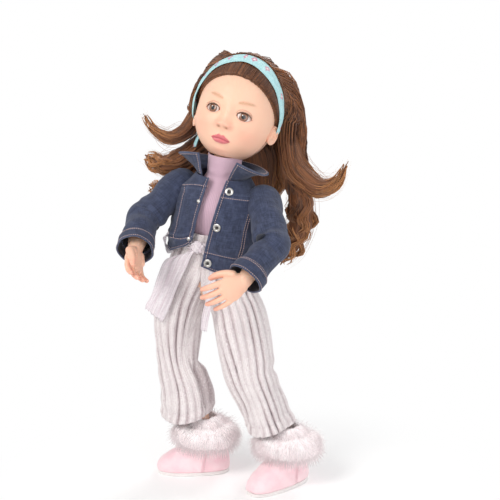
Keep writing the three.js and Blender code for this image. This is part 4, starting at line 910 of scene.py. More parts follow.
def lines_object(paths, **values):
    """Open lines as one mesh of edges, with point attributes given per line as arrays."""
    points = np.concatenate(paths)
    edges, first = [], 0
    for p in paths:
        edges.append(np.stack([np.arange(len(p) - 1), np.arange(1, len(p))], 1) + first)
        first += len(p)
    mesh = bpy.data.meshes.new("lines")
    mesh.vertices.add(len(points))
    mesh.vertices.foreach_set("co", points.astype(np.float32).ravel())
    edges = np.concatenate(edges)
    mesh.edges.add(len(edges))
    mesh.edges.foreach_set("vertices", edges.astype(np.int32).ravel())
    for key, value in values.items():
        mesh.attributes.new(key, "FLOAT", "POINT").data.foreach_set("value", np.concatenate(value).astype(np.float32))
    mesh.update()
    return linked("lines", mesh)


def strands(name, paths, thick, material, sides=4, **values):
    source = lines_object(paths, thick=thick, **values)
    return grown(name, source, STRAND_TREE, Sides=sides, Material=material)


def stitches(name, paths, pitch=2.4, length=1.7, radius=0.28, material=None):
    source = lines_object([np.asarray(p) for p in paths])
    return grown(name, source, STITCH_TREE, Pitch=pitch * MM, Length=length * MM, Radius=1.4 * radius * MM,
                 Material=material or THREAD)


# Head

HEAD_W, HEAD_FRONT, HEAD_BACK, SKULL_H, JAW_H = 44, 45, 47, 58, 53
EYE_X, EYE_Z, EYE_W, LID_UP, LID_LOW = 17.8, -3.7, 8.2, 4.6, 3.8
NOSE_Z, MOUTH_Z, MOUTH_W = -16.3, -33, 11.4
HAIR_T, CROWN_T = 4, 10
FACE_LEAN = 3.5


def hill(x, z, cx, cz, sx, sz):
    return np.exp(-(((x - cx) / sx) ** 2 + ((z - cz) / sz) ** 2) / 2)


def skull(lon, lat, grow=0.0):
    """Plain head surface, lon from the face round to the doll's left, lat up."""
    dx, dy, dz = np.sin(lon) * np.cos(lat), -np.cos(lon) * np.cos(lat), np.sin(lat)
    tall, deep = np.where(dz > 0, SKULL_H, JAW_H), np.where(dy < 0, HEAD_FRONT, HEAD_BACK)
    power = np.where(dz > 0, 2, 2 + 0.45 * np.minimum(1, -3 * dz))
    k = (np.abs(dx) ** power + np.abs(dy) ** power + np.abs(dz) ** power) ** (-1 / power)
    x, y, z = (HEAD_W + grow) * k * dx, (deep + grow) * k * dy, (tall + grow) * k * dz
    jaw = np.maximum(0, -z / JAW_H)
    x = x * (1 - 0.1 * jaw**2.2)
    y = y + np.where(dy > 0, -10 * jaw, 0)
    return np.stack([x, y, z], -1)


def mouth(x):
    """Signed depths inside the upper and lower lip, and the height above the line between them."""
    t = np.clip(1 - (x / MOUTH_W) ** 2, 0, 1)
    line = MOUTH_Z - 0.9 * (x / MOUTH_W) ** 2 + 0.35 * bell(x, 3)
    up = 4.1 * t**0.75 + 0.9 * bell(np.abs(x) - 3, 1.7) - 0.5 * bell(x, 1.1)
    low = 5.0 * np.clip(1 - (x / (MOUTH_W * 0.9)) ** 2, 0, 1) ** 0.8
    return line, up * (t > 0), low


def eye_opening(x, z):
    """Depth inside the lids' opening, in millimetres, and whether the point is in its upper half."""
    ex = np.abs(x) - EYE_X
    ez = z - EYE_Z + 0.05 * ex
    t = np.clip(1 - (ex / EYE_W) ** 2, 0, 1)
    h = np.where(ez > 0, LID_UP * t**0.62, LID_LOW * t**0.8)
    inside = np.minimum(h - np.abs(ez), (EYE_W - np.abs(ex)) * 0.9)
    return np.where(np.abs(ex) < EYE_W, inside, -np.hypot(np.abs(ex) - EYE_W, ez)), ez > 0, ex


def tipped(x, z, way=1):
    """The features lean a little to the doll's left within the face."""
    c, sn = cos(radians(FACE_LEAN)), way * sin(radians(FACE_LEAN))
    return c * x - sn * (z + 18), sn * x + c * (z + 18) - 18


def face(x, z, opened=1.0):
    """Relief of the face towards -Y, and its painted masks."""
    x, z = tipped(x, z)
    ax = np.abs(x)
    out = 2.5 * hill(ax, z, 25, -19, 13, 14)
    out += 6.2 * hill(x, z, 0, NOSE_Z, 4.5, 4.0) + 3.2 * hill(x, z, 0, NOSE_Z + 10, 3.8, 9)
    out += 3.4 * hill(ax, z, 6.8, NOSE_Z - 1.2, 2.4, 2.7) - 1.5 * hill(ax, z, 4.4, NOSE_Z - 3.9, 1.4, 1.0)
    out -= 0.6 * hill(x, z, 0, NOSE_Z - 8.5, 1.2, 2.4)
    out += 3.5 * hill(x, z, 0, MOUTH_Z - 13, 9, 6) - 1.0 * hill(x, z, 0, MOUTH_Z - 7.6, 6, 1.8)
    out -= 1.9 * hill(ax, z, EYE_X, EYE_Z, 10, 6.5) + 1.6 * hill(ax, z, 8.2, EYE_Z, 3.2, 5)
    out += 3 * hill(x, z, 0, 24, 22, 16) + 1.2 * hill(ax, z, 16, 11, 9, 3.4)
    line, up, low = mouth(x)
    above, below = (z - line) / np.maximum(up, 0.1), (line - z) / np.maximum(low, 0.1)
    in_up = (z > line) & (above < 1) & (np.abs(x) < MOUTH_W)
    in_low = (z <= line) & (below < 1) & (np.abs(x) < MOUTH_W * 0.9)
    out += 1.6 * hill(x, z, 0, MOUTH_Z, 9.5, 5)
    out += np.where(in_up, 1.5 * np.sqrt(np.clip(1 - (2 * above - 0.9) ** 2, 0, 1)), 0) * np.clip(up / 3, 0, 1)
    out += np.where(in_low, 2.1 * np.sqrt(np.clip(1 - (2 * below - 0.95) ** 2, 0, 1)), 0) * np.clip(low / 3, 0, 1)
    out -= 0.9 * bell(z - line, 0.5) * (np.abs(x) < MOUTH_W + 1)
    depth, upper, ex = eye_opening(x, z)
    out -= opened * 4.5 * smooth01(depth / 0.45)
    out += 0.55 * bell(depth + 0.7, 0.7) * (depth < 0)
    out -= 0.5 * bell(depth + 3.1, 0.45) * (upper & (np.abs(ex) < EYE_W))
    lip_up = smooth01((1.05 - above) / 0.14) * (z > line) * smooth01((MOUTH_W - np.abs(x)) / 0.8)
    lip_low = smooth01((1.05 - below) / 0.12) * (z <= line) * smooth01((MOUTH_W * 0.93 - np.abs(x)) / 0.8)
    t = (ax - 8.0) / 20
    brow_z = 9.6 + 2.3 * np.sin(pi * np.clip(t, 0, 1) * 0.62)
    brow_h = 0.8 + 1.35 * np.sin(pi * np.clip(t, 0, 1) ** 0.75)
    brow = bell(z - brow_z, np.maximum(brow_h, 0.1)) * smooth01((t + 0.02) / 0.12) * smooth01((1.02 - t) / 0.3)
    lid = bell(depth + 0.3, 0.5) * np.where(upper, 1.0, 0.3) * smooth01((ex + EYE_W) / 5)
    crease = bell(depth + 3.1, 0.4) * (upper & (np.abs(ex) < EYE_W)) * 0.5
    masks = {
        "blush": 0.32 * hill(ax, z, 24, -22, 10, 8) + 0.2 * hill(x, z, 0, NOSE_Z, 4, 3)
        + 0.3 * hill(ax, z, 7, NOSE_Z - 1.5, 2.2, 2.2)
        + 0.25 * hill(x, z, 0, MOUTH_Z - 13, 7, 4) + 0.3 * bell(np.minimum(depth, 0), 2.2) * (depth < 0.4),
        "shade": np.clip(0.9 * hill(ax, z, 4.4, NOSE_Z - 3.9, 1.3, 0.85) + crease
                         + 0.5 * smooth01((depth + 0.1) / 0.5), 0, 1),
        "lip": np.clip(lip_up + lip_low, 0, 1),
        "lip_line": np.clip(bell(z - line, 0.55) + 0.2 * in_up, 0, 1),
        "brow": brow, "lash": np.clip(lid, 0, 1),
    }
    return out, masks


def face_front(x, z):
    """Depth of the face at x and z, as if its eyes were closed over."""
    lon, lat = np.arcsin(np.clip(x / HEAD_W, -0.95, 0.95)), np.arcsin(np.clip(z / SKULL_H, -0.95, 0.95))
    for _ in range(40):
        p = skull(lon, lat)
        lon, lat = lon + (x - p[..., 0]) / 55, lat + (z - p[..., 2]) / 60
    return skull(lon, lat)[..., 1] - face(x, z, 0.0)[0]


def make_head():
    rows, cols = 225, 256
    t = np.arange(cols) / cols * 2 - 1
    lon = pi * (0.42 * t + 0.58 * t**3)
    v = np.linspace(0, 1, rows + 1)[1:-1]
    lat = pi * (v - 0.5 + 0.075 * np.sin(2 * pi * (v - 0.04)))
    lat = np.clip(lat, -pi / 2 + 0.02, pi / 2 - 0.02)
    LON, LAT = np.meshgrid(lon, lat)
    P = skull(LON, LAT)
    dy = -np.cos(LON) * np.cos(LAT)
    front = np.clip(-dy * 1.6, 0, 1) * (dy < 0)
    out, masks = face(P[..., 0], P[..., 2])
    P[..., 1] -= out * front
    # A hollow under the jaw takes the neck ball
    low = P[..., 2] < -35
    P[..., 2] = np.where(low, P[..., 2] + 9 * smooth01((17.5 - np.hypot(P[..., 0], P[..., 1])) / 4), P[..., 2])
    masks = {k: np.clip(m * (front > 0.02), 0, 1) for k, m in masks.items()}
    head = closed_loft("head_shell_face", place(P, "head"), FACE, masks)
    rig.replaces(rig.ride(head, "head"), "head_shell")
    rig.slot(head, "vinyl_skin")


def make_ears():
    for side, s in SIDES.items():
        theta = steps_round(72)
        shape = 1 + 0.05 * np.cos(2 * theta) - 0.1 * np.clip(-np.sin(theta), 0, 1) ** 2
        rings = []
        r_front = np.concatenate([np.linspace(0.04, 0.86, 26), np.linspace(0.9, 1.0, 8)])
        for r in r_front:
            lobe = np.clip(-np.sin(theta) * 1.3 - 0.1, 0, 1)
            relief = -2.6 * np.exp(-((r / 0.42) ** 4)) + 0.9 * bell(r - 0.6, 0.12) * (1 - lobe)
            relief = relief - 0.7 * bell(r - 0.76, 0.07) * (1 - lobe)
            rim = 1.5 * bell(r - 0.91, 0.09) * (1 - 0.6 * lobe) * (0.55 + 0.45 * np.sin(theta * 0.5 + 0.9) ** 2)
            tragus = 1.6 * np.exp(-(((r - 0.62) / 0.2) ** 2 + ((theta - pi) / 0.45) ** 2))
            w = 1.6 + relief * (1 - 0.5 * lobe) + rim + tragus
            rings.append(np.stack([r * shape * 7.6 * np.cos(theta), r * shape * 12 * np.sin(theta), w], -1))
        for r, w in ((1.03, 0.9), (1.0, -0.3), (0.85, -1.6), (0.6, -4), (0.3, -6)):
            rings.append(np.stack([r * shape * 7.6 * np.cos(theta), r * shape * 12 * np.sin(theta), np.full(72, w)],
                                  -1))
        R = np.array(rings)
        # Ear axes: u towards the back of the head, v up, w outwards
        yaw, roll = radians(24), radians(-8)
        u_axis = np.array([s * sin(yaw), cos(yaw), 0])
        w_axis = np.array([s * cos(yaw), -sin(yaw), 0])
        v_axis = np.array([0, sin(-roll), cos(roll)])
        centre = np.array([s * (HEAD_W + 0.2), 1.5, -16])
        P = centre + R[..., :1] * u_axis + R[..., 1:2] * v_axis + R[..., 2:] * w_axis
        blush = np.clip(0.25 * np.exp(-((np.linspace(0, 1.2, len(R)) - 0.95) ** 2) / 0.05), 0, 1)[:,
                                                                                                  None] * np.ones(72)
        ear = closed_loft("ear_" + side, place(P, "head"), VINYL, {"blush": blush})
        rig.slot(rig.ride(ear, "head"), "vinyl_skin")


def make_eyes():
    for side, s in SIDES.items():
        cols = 96
        reach = np.concatenate([np.linspace(0.01, 1, 70), [0.99, 0.8, 0.5, 0.2]])
        back = np.concatenate([np.zeros(70), [2.5, 4, 4.5, 4.8]])
        R, A = np.meshgrid(reach, steps_round(cols), indexing="ij")
        x = s * EYE_X + R * (EYE_W + 1.4) * np.cos(A)
        z = EYE_Z + 0.3 + R * (LID_UP + 1.6) * np.sin(A)
        ix, iz = x - (s * EYE_X - 0.2), z - (EYE_Z + 0.35)
        away = np.hypot(ix, iz)
        bulge = 1.5 * (1 - R**2) + 0.5 * np.exp(-((away / 4.8) ** 4))
        x, z = tipped(x, z, -1)
        y = face_front(x, z) + 1.9 - bulge + back[:, None]
        P = np.stack([x, y, z], -1)
        eye = closed_loft("eye_glass_" + side, place(P, "head"), EYE,
                          {"gaze": away, "round": np.arctan2(iz, ix),
                           "glint": np.exp(-(((ix + 1.5) / 0.6) ** 2 + ((iz - 1.7) / 0.6) ** 2) ** 2)})
        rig.slot(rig.replaces(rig.ride(eye, "head"), "eye_" + side), "eye_glaze")
        # Lashes stand along the lids' edges
        paths, thick = [], []
        for k in range(40):
            t = k / 39 * 2 - 1
            ex = t * (EYE_W - 0.5)
            x = s * (EYE_X + ex)
            z = EYE_Z + LID_UP * (1 - (ex / EYE_W) ** 2) ** 0.62 - 0.05 * ex
            x, z = tipped(x, z, -1)
            y = float(face_front(np.array([x]), np.array([z + 0.5]))[0])
            long = 1.6 + 1.3 * smooth01((t + 1) / 2)
            lean = s * (0.15 + 0.75 * t)
            q = np.linspace(0, 1, 6)
            paths.append(np.stack([x + lean * long * 0.6 * q, y + 0.3 - 1.1 * long * q * (1 - 0.3 * q), z - 0.1
                                   + long * (0.15 * q + 0.75 * q**2)], -1))
            thick.append(0.16 * (1 - q) ** 0.7 * MM + 0.00002)
        lash = strands("lashes_" + side, [place(p, "head") for p in paths], thick, LASHES, 4)
        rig.slot(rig.ride(lash, "head"), "vinyl_skin")


LASHES = plain_finish("lash_fibre", srgb(84, 54, 40), srgb(60, 38, 30), 0.6, 900, 0.1)
make_head()
make_ears()
make_eyes()


# Hair and headband

BAND_LEAN, BAND_OFF, BAND_W = 23, 15.5, 10
HAIRLINE_LEAN, HAIRLINE_OFF = 43.8, -1.2
HEAD_AT = np.array(F["head"].translation)
HEAD_TURNED = np.array(F["head"])[:3, :3]


def leaning(degrees):
    """Normal of a plane across the head, and the direction in it that points up."""
    a = radians(degrees)
    return np.array([0, cos(a), sin(a)]), np.array([0, -sin(a), cos(a)])


def skull_level(p):
    """1 on the skull, less inside; p in head axes."""
    x, y, z = p[..., 0], p[..., 1], p[..., 2]
    return np.sqrt((x / HEAD_W) ** 2 + (y / np.where(y < 0, HEAD_FRONT, HEAD_BACK)) ** 2
                   + (z / np.where(z > 0, SKULL_H, JAW_H + 3)) ** 2)


def on_skull(direction, grow):
    d = unit(direction)
    return d * (1 / skull_level(d) + grow)[..., None]


def round_head(angle, lean, offset, grow):
    """A point of the head's surface in a leaning plane; angle 0 is the top and grows to the doll's left."""
    normal, up = leaning(lean)
    angle = np.asarray(angle, float)
    ray = np.sin(angle)[..., None] * np.array([1, 0, 0]) + np.cos(angle)[..., None] * up
    low, high = np.zeros(angle.shape), np.full(angle.shape, 120.0)
    for _ in range(24):
        middle = (low + high) / 2
        p = offset * normal + middle[..., None] * ray
        r = np.linalg.norm(p, axis=-1)
        out = r > 1 / skull_level(unit(p)) + grow
        low, high = np.where(out, low, middle), np.where(out, middle, high)
    return offset * normal + low[..., None] * ray


def upright(points):
    """Points about the head's centre in upright axes, in metres."""
    return (np.asarray(points) + HEAD_AT) * MM


LOCKS = {
    "hair_back": ([[-4, 34, 0], [-6, 50, -30], [-6, 58, -62], [-4, 62, -94], [0, 64, -120]],
                  [[30, 12], [40, 14], [43, 13], [38, 11], [22, 6]]),
    "hair_right_upper": ([[-30, 24, 34], [-50, 23, 14], [-60, 18, -8], [-70, 8, -24], [-86, -2, -30],
                          [-102, -10, -18], [-111, -14, -2]],
                         [[10, 9], [12, 10], [12, 10], [11, 9], [9, 6], [5, 4], [2, 2]]),
    "hair_right_lower": ([[-34, 28, -10], [-52, 24, -38], [-78, 14, -58], [-102, 4, -62], [-120, 2, -52]],
                         [[10, 8], [15, 10], [15, 10], [12, 8], [6, 4]]),
    "hair_right_curl": ([[-30, 38, -20], [-48, 34, -56], [-72, 24, -82], [-98, 12, -94], [-120, 8, -88]],
                        [[9, 7], [13, 9], [14, 9], [12, 8], [6, 4]]),
    "hair_left_upper": ([[30, 22, 34], [47, 27, 14], [52, 31, -12], [49, 34, -38], [54, 38, -66], [76, 43, -87],
                         [99, 45, -82], [114, 46, -57]],
                        [[10, 9], [13, 10], [14, 11], [14, 11], [15, 11], [14, 9], [8, 6], [2, 2]]),
    "hair_left_lower": ([[34, 38, -14], [47, 48, -54], [51, 53, -92], [52, 54, -130], [41, 53, -160], [27, 50, -184]],
                        [[11, 9], [16, 11], [17, 12], [17, 12], [14, 9], [5, 4]]),
}
# For each lock: the band angles it grows from, strands, clumps, wave height and length, and the path point it joins at
GROWTH = {
    "hair_back": (-62, 62, 620, 26, 2.6, 46, 1),
    "hair_right_upper": (-112, -52, 420, 11, 2.0, 44, 2),
    "hair_right_lower": (-104, -34, 460, 12, 4.6, 32, 1),
    "hair_right_curl": (-80, -20, 440, 12, 5.6, 27, 1),
    "hair_left_upper": (48, 112, 460, 12, 1.8, 60, 2),
    "hair_left_lower": (24, 100, 520, 12, 6.4, 33, 1),
}
# How far a lock's strands stand off the skull on their way to it
PUFF = {"hair_left_upper": 11, "hair_right_upper": 11, "hair_back": 5, "hair_left_lower": 7}


def lock_frame(points, radii, count):
    path = spline(points, count)
    size = np.stack([np.interp(np.linspace(0, len(radii) - 1, count), np.arange(len(radii)),
                               [r[k] for r in radii]) for k in (0, 1)], 1)
    axis = unit(np.gradient(path, axis=0))
    a_list, a = [], np.array([1, 0.35, 0])
    for t in axis:
        a = unit(a - t * (a @ t))
        a_list.append(a)
    a = np.array(a_list)
    return path, size, a, np.cross(axis, a)


def grow_lock(name):
    points, radii = LOCKS[name]
    low, high, count, clumps, wave, wave_long, join = GROWTH[name]
    steps = 25
    path, size, a_dir, b_dir = lock_frame(points[join:], radii[join:], steps)
    length = np.concatenate([[0], np.cumsum(np.linalg.norm(np.diff(path, axis=0), axis=1))])
    centre_u = rng.uniform(-0.82, 0.82, clumps)
    centre_v = rng.uniform(-0.8, 0.8, clumps) * np.sqrt(1 - centre_u**2)
    phase, stretch = rng.uniform(0, 2 * pi, clumps), rng.uniform(0.85, 1.2, clumps)
    paths, thick, shade, along = [], [], [], []
    order = np.sign(a_dir[0] @ np.array([1, 0, 0])) or 1
    for k in range(count):
        c = k % clumps
        u, v = centre_u[c] + rng.normal(0, 0.16), centre_v[c] + rng.normal(0, 0.16)
        r = max(1.0, np.hypot(u, v))
        u, v = u / r, v / r
        start = radians(low + (high - low) * np.clip(0.5 + 0.5 * order * u + rng.normal(0, 0.09), 0, 1))
        layer = rng.uniform(0, 1) ** 0.6
        root = round_head(start, BAND_LEAN, BAND_OFF + BAND_W / 2 - 0.5, HAIR_T + 1 + 4.0 * layer) @ HEAD_TURNED.T
        # Strands of a clump close up towards its middle
        q = np.linspace(0, 1, steps)
        close = 1 - 0.55 * q
        uu = centre_u[c] + (u - centre_u[c]) * close
        vv = centre_v[c] + (v - centre_v[c]) * close
        swing = wave * smooth01((length - 18) / 60)
        ripple = np.sin(2 * pi * length / (wave_long * stretch[c]) + phase[c]) * swing
        ripple2 = np.cos(2 * pi * length / (wave_long * stretch[c] * 1.1) + phase[c] * 1.7) * swing * 0.6
        lockpath = path + a_dir * (uu * size[:, 0] + ripple)[:, None] + b_dir * (vv * size[:, 1] + ripple2)[:, None]
        end = rng.uniform(0.84, 1.0)
        keep = lockpath[: max(6, int(steps * end))]
        first = keep[0]
        middle = []
        for t in (0.3, 0.65):
            d = unit(unit(root) * (1 - t) + unit(first) * t)
            flat = on_skull(d @ HEAD_TURNED, 0.0)
            least = np.linalg.norm(flat) + CROWN_T - 4.5 + 4.5 * layer
            puff = PUFF.get(name, 3) * (0.35 + 0.65 * layer)
            reach = (1 - t) * np.linalg.norm(root) + t * np.linalg.norm(first) + puff * sin(pi * t)
            middle.append(d * max(least, min(reach, least + 45 * t + puff)))
        head_part = spline([root, middle[0], middle[1], first], 9)[:-1]
        strand = np.concatenate([head_part, keep])
        strand += rng.normal(0, 0.12, strand.shape)
        n = len(strand)
        q = np.linspace(0, 1, n)
        paths.append(upright(strand))
        thick.append((0.42 + 0.16 * rng.uniform()) * MM * np.clip((1.02 - q) / 0.35, 0.12, 1) ** 0.7)
        tone = np.clip(rng.normal(0.42, 0.22) + 0.18 * np.sin(phase[c] * 3), 0, 1)
        shade.append(np.full(n, tone))
        along.append(q)
    for k in range(30):
        # Loose hairs stand away from the lock
        a, far = rng.uniform(0, 2 * pi), rng.uniform(1.1, 1.7)
        q = np.linspace(0, 1, steps)
        bow = rng.normal(0, 3.5, 3)
        loose = (path + a_dir * (cos(a) * far * size[:, 0] * (0.6 + 0.4 * q))[:, None]
                 + b_dir * (sin(a) * far * size[:, 1] * (0.6 + 0.4 * q))[:, None]
                 + np.sin(pi * q * rng.uniform(0.8, 1.8))[:, None] * bow)
        loose = path + (loose - path) * smooth01(q * 3)[:, None]
        loose = spline(loose[rng.integers(0, 10)::3], 24)
        q = np.linspace(0, 1, 24)
        paths.append(upright(loose))
        thick.append(0.13 * MM * np.clip((1.02 - q) / 0.4, 0.2, 1))
        shade.append(np.full(24, 0.8))
        along.append(q)
    hair = strands(name + "_strands", paths, thick, HAIR, 3, shade=shade, along=along)
    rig.slot(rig.replaces(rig.ride(hair, "head"), name), "hair_fibre")
    # The body of the lock under its strands
    full, sizes, a_dir, b_dir = lock_frame(points[join:], radii[join:], 34)
    turns = steps_round(28)
    flute = 1 + 0.06 * np.cos(turns * 7)
    q = np.linspace(0, 1, 34)
    shrink = 0.8 * np.clip((1.0 - q) / 0.4, 0.05, 1) ** 0.6 * (0.25 + 0.75 * smooth01(q * 4))
    ring = (full[:, None]
            + a_dir[:, None] * (np.cos(turns) * flute)[None, :, None] * (sizes[:, :1] * shrink[:, None])[:, None]
            + b_dir[:, None] * (np.sin(turns) * flute)[None, :, None] * (sizes[:, 1:] * shrink[:, None])[:, None])
    core = closed_loft(name + "_core", upright(ring), SCALP)
    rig.slot(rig.ride(core, "head"), "hair_fibre")


def hair_bed(name, lean, offset, grow, node, edge, dip=3.0):
    """Hair lying on the skull behind a leaning plane; in front of it the surface sinks into the head."""
    cols, rows = 120, 90
    lon = np.arange(cols) / cols * 2 * pi - pi
    lat = np.linspace(-pi / 2 + 0.03, pi / 2 - 0.03, rows)
    LON, LAT = np.meshgrid(lon, lat)
    d = np.stack([np.sin(LON) * np.cos(LAT), -np.cos(LON) * np.cos(LAT), np.sin(LAT)], -1)
    P = on_skull(d, 0.0)
    normal, _ = leaning(lean)
    depth = P @ normal - offset
    g = -dip + (grow + dip) * smooth01(depth / edge + 0.5)
    g = np.where((P[..., 2] < -JAW_H + 12), np.minimum(g, -dip), g)
    comb = 0.25 * np.sin(LON * 90 + 4 * np.sin(LAT * 5)) * (depth > 0)
    P = d * (np.linalg.norm(P, axis=-1) + g + comb)[..., None]
    bed = closed_loft(name, place(P, "head"), SCALP)
    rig.slot(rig.replaces(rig.ride(bed, "head"), node), "hair_fibre")


def combed_front():
    paths, thick, shade, along = [], [], [], []
    for k in range(760):
        a = radians(-97 + 194 * (k + rng.uniform()) / 760)
        begin = round_head(a, HAIRLINE_LEAN, HAIRLINE_OFF + 0.3, HAIR_T - 0.9)
        end = round_head(a * 0.96 + 0.05 + rng.normal(0, 0.012), BAND_LEAN, BAND_OFF - BAND_W / 2 + 2, HAIR_T + 0.25)
        q = np.linspace(0, 1, 9)
        d = unit(begin) * (1 - q)[:, None] + unit(end) * q[:, None]
        lift = HAIR_T - 0.6 + 0.9 * smooth01(q * 6) + rng.uniform(-0.15, 0.3)
        p = on_skull(d, 0.0)
        p = unit(p) * (np.linalg.norm(p, axis=-1) + lift)[:, None]
        paths.append(place(p, "head"))
        thick.append(0.34 * MM * np.clip(q * 5 + 0.35, 0, 1))
        shade.append(np.full(9, np.clip(rng.normal(0.25, 0.16), 0, 1)))
        along.append(q * 0.3)
    front = strands("hair_front_strands", paths, thick, HAIR, 3, shade=shade, along=along)
    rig.slot(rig.ride(front, "head"), "hair_fibre")


def make_headband():
    cols, rows = 260, 26
    around = np.arange(cols) / cols * 2 * pi
    v = np.linspace(-1, 1, rows)
    P = np.zeros((rows, cols, 3))
    for j, w in enumerate(v):
        twist = 0.35 * np.sin(around + 0.6)
        pleat = 1.1 * np.abs(np.sin(pi * (1.55 * w + twist))) + 0.3 * np.sin(6 * w + 9 * around)
        crown = 1.5 * (1 - w**4)
        low = smooth01((np.abs(half_turn(around)) - 1.75) / 0.6)
        wide = 11.8 + 0.8 * np.sin(around * 3 + 1) - 7.5 * low
        P[j] = np.array([round_head(np.array([a]), BAND_LEAN, BAND_OFF - 5.5 - 9.5 * max(0, -sin(a)) + 15 * k
                                    + w * wd, HAIR_T + 0.5 + c - 3 * k)[0]
                         for a, wd, c, k in zip(around, wide, crown + pleat, low)])
    band = cloth("headband_cloth", place(P, "head"), 0.6 * MM, BAND)
    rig.slot(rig.replaces(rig.ride(band, "head"), "headband"), "band_cloth")
    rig.sheet(band, (0.3, 0.031), "stretched", rests_on=["wig_cap"])
    # The knot behind the ear, with its loose end
    knot_at = np.array([-39.5, 27.0, -29])
    q = np.linspace(0, 1, 30)
    w = np.linspace(-1, 1, 12)
    tail = np.zeros((30, 12, 3))
    for i, t in enumerate(q):
        middle = knot_at + np.array([-4.5 * t - 2, -1.5 * np.sin(3 * t), -24 * t + 4])
        wide = 2.2 + 3.2 * np.sin(pi * (0.15 + 0.8 * t))
        tail[i] = middle + np.outer(w * wide, [0.55, -0.8, 0.15]) + np.outer(0.9 * np.cos(w * 4 + 5 * t),
                                                                             [-0.8, -0.5, 0])
    end = cloth("headband_tail", place(tail, "head"), 0.5 * MM, BAND, wrap=False)
    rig.slot(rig.ride(end, "head"), "band_cloth")
    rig.sheet(end, (0.011, 0.026), "hung", rests_on=["headband_cloth"])
    turns = steps_round(40)
    lat = np.linspace(-pi / 2 + 0.05, pi / 2 - 0.05, 24)
    K = np.array([[(np.cos(b) * np.cos(t), np.cos(b) * np.sin(t), np.sin(b)) for t in turns] for b in lat])
    fold = 1 + 0.1 * np.sin(5 * turns[None] + 6 * lat[:, None]) + 0.05 * np.cos(9 * turns[None])
    K = K * fold[..., None] * [4.6, 3.6, 5.0] + knot_at
    knot = closed_loft("headband_knot_cloth", place(K, "head"), BAND)
    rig.slot(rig.replaces(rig.ride(knot, "head"), "headband_knot"), "band_cloth")


hair_bed("hair_cap_bed", HAIRLINE_LEAN, HAIRLINE_OFF, HAIR_T, "wig_cap", 1.6)
hair_bed("hair_crown_bed", BAND_LEAN, BAND_OFF + BAND_W / 2, CROWN_T - 3.2, "hair_crown", 3.0, 2.0)
combed_front()
for lock_name in LOCKS:
    grow_lock(lock_name)
make_headband()


# Jacket, in the torso's frame

JACKET = spline([[24, 56, 39], [56, 53, 38], [78, 51, 37], [95, 49, 34], [108, 44, 31], [118, 35, 28.5],
                 [127, 28, 26]], 120)
JACKET_LOW, JACKET_HIGH, JACKET_T = 24.4, 127, 1.7
JACKET_COLS, JACKET_ROWS = 256, 96
BOXY = 2.4  # power of the outlines of the jacket and the waist


def wobble(p, seed, size, count=7):
    """A smooth uneven field over points, about -1 to 1."""
    r = np.random.default_rng(seed)
    total = 0
    for _ in range(count):
        k = unit(r.normal(size=p.shape[-1])) * 2 * pi / (size * r.uniform(0.6, 1.6))
        total = total + np.sin(p @ k + r.uniform(0, 2 * pi))
    return total / (1.2 * count**0.5)


def opening(z, s):
    t = (z - 24) / 103
    return -7 + 12 * t + s * (8 + 2 * t)


def edge_angle(z, s):
    c = np.clip(opening(z, s) / (table_at(JACKET, z)[0] + JACKET_T / 2), -0.95, 0.95)
    return np.arctan2(-(1 - np.abs(c) ** BOXY) ** (1 / BOXY), c)


def on_jacket(a, z, out=0.0):
    rx, ry = table_at(JACKET, z)
    out = out + JACKET_T / 2
    return outline(rx + out, ry + out, a, BOXY, z)


def hem_at(x, a):
    """Height of the hem: it drops to the doll's left, and the right front's corner is rounded off."""
    hem = np.maximum(JACKET_LOW, 29 - 0.176 * x)
    corner = 37 + 0.54 * (x + 40) + 3.5 * np.clip((x + 22) / 9, 0, 2) ** 2
    return np.where((a > pi) & (x > -40), np.maximum(hem, corner), hem)


def column(u, z):
    low, high = edge_angle(z, 1), edge_angle(z, -1) + 2 * pi
    return low + u * (high - low)


def jacket_at(u, v):
    """Angle and height of a place of the cloth: u from the left front edge round the back, v from hem to neck."""
    z = np.full(np.shape(u), 36.0)
    for _ in range(3):
        a = column(u, z)
        z = hem_at(on_jacket(a, z)[..., 0], a)
    z = z + (JACKET_HIGH - z) * v
    return column(u, z), z


def front(x, z, s):
    """Angle of the place on the front with that x."""
    c = np.clip(x / (table_at(JACKET, z)[0] + JACKET_T / 2), -0.97, 0.97)
    a = np.arctan2(-(1 - np.abs(c) ** BOXY) ** (1 / BOXY), c)
    return np.where(a < -pi / 2, a + 2 * pi, a) if s < 0 else a


def seam(points, s=None, count=90):
    """A line on the jacket through (x or angle, z) points; with s it lies on that side's front."""
    line = spline(np.asarray(points, float), count) if len(points) > 2 else np.linspace(*np.asarray(points, float),
                                                                                        count)
    a = line[:, 0] if s is None else front(line[:, 0], line[:, 1], s)
    return a, line[:, 1]


def seam_list():
    z = np.linspace(0, 1, 90)
    return {
        "yoke_left": seam([(11, 111.5), (30, 111), (48, 109)], 1),
        "yoke_right": seam([(-3, 116), (-22, 114), (-41, 108)], -1),
        "down_left": seam([(45, 110), (44, 84), (41, 46)], 1),
        "down_right": seam([(-32, 111), (-34, 84), (-35, 52)], -1),
        "band_left": seam([(2, 44.5), (24, 43.5), (48, 42)], 1),
        "band_right": seam([(-13, 62), (-26, 56), (-42, 53)], -1),
        "band_back": (np.linspace(front(np.array(48.0), np.array(42.0), 1),
                                  front(np.array(-42.0), np.array(53.0), -1), 90),
                      42 + 11 * smooth01(z)),
        "yoke_back": (np.linspace(0.42, pi - 0.42, 90), np.full(90, 101.0)),
        "back_left": seam([(1.15, 100), (1.3, 47)]),
        "back_right": seam([(pi - 1.15, 100), (pi - 1.3, 47)]),
        "side_left": seam([(0.02, 82), (0.02, 45)]),
        "side_right": seam([(pi - 0.02, 82), (pi - 0.02, 52)]),
    }


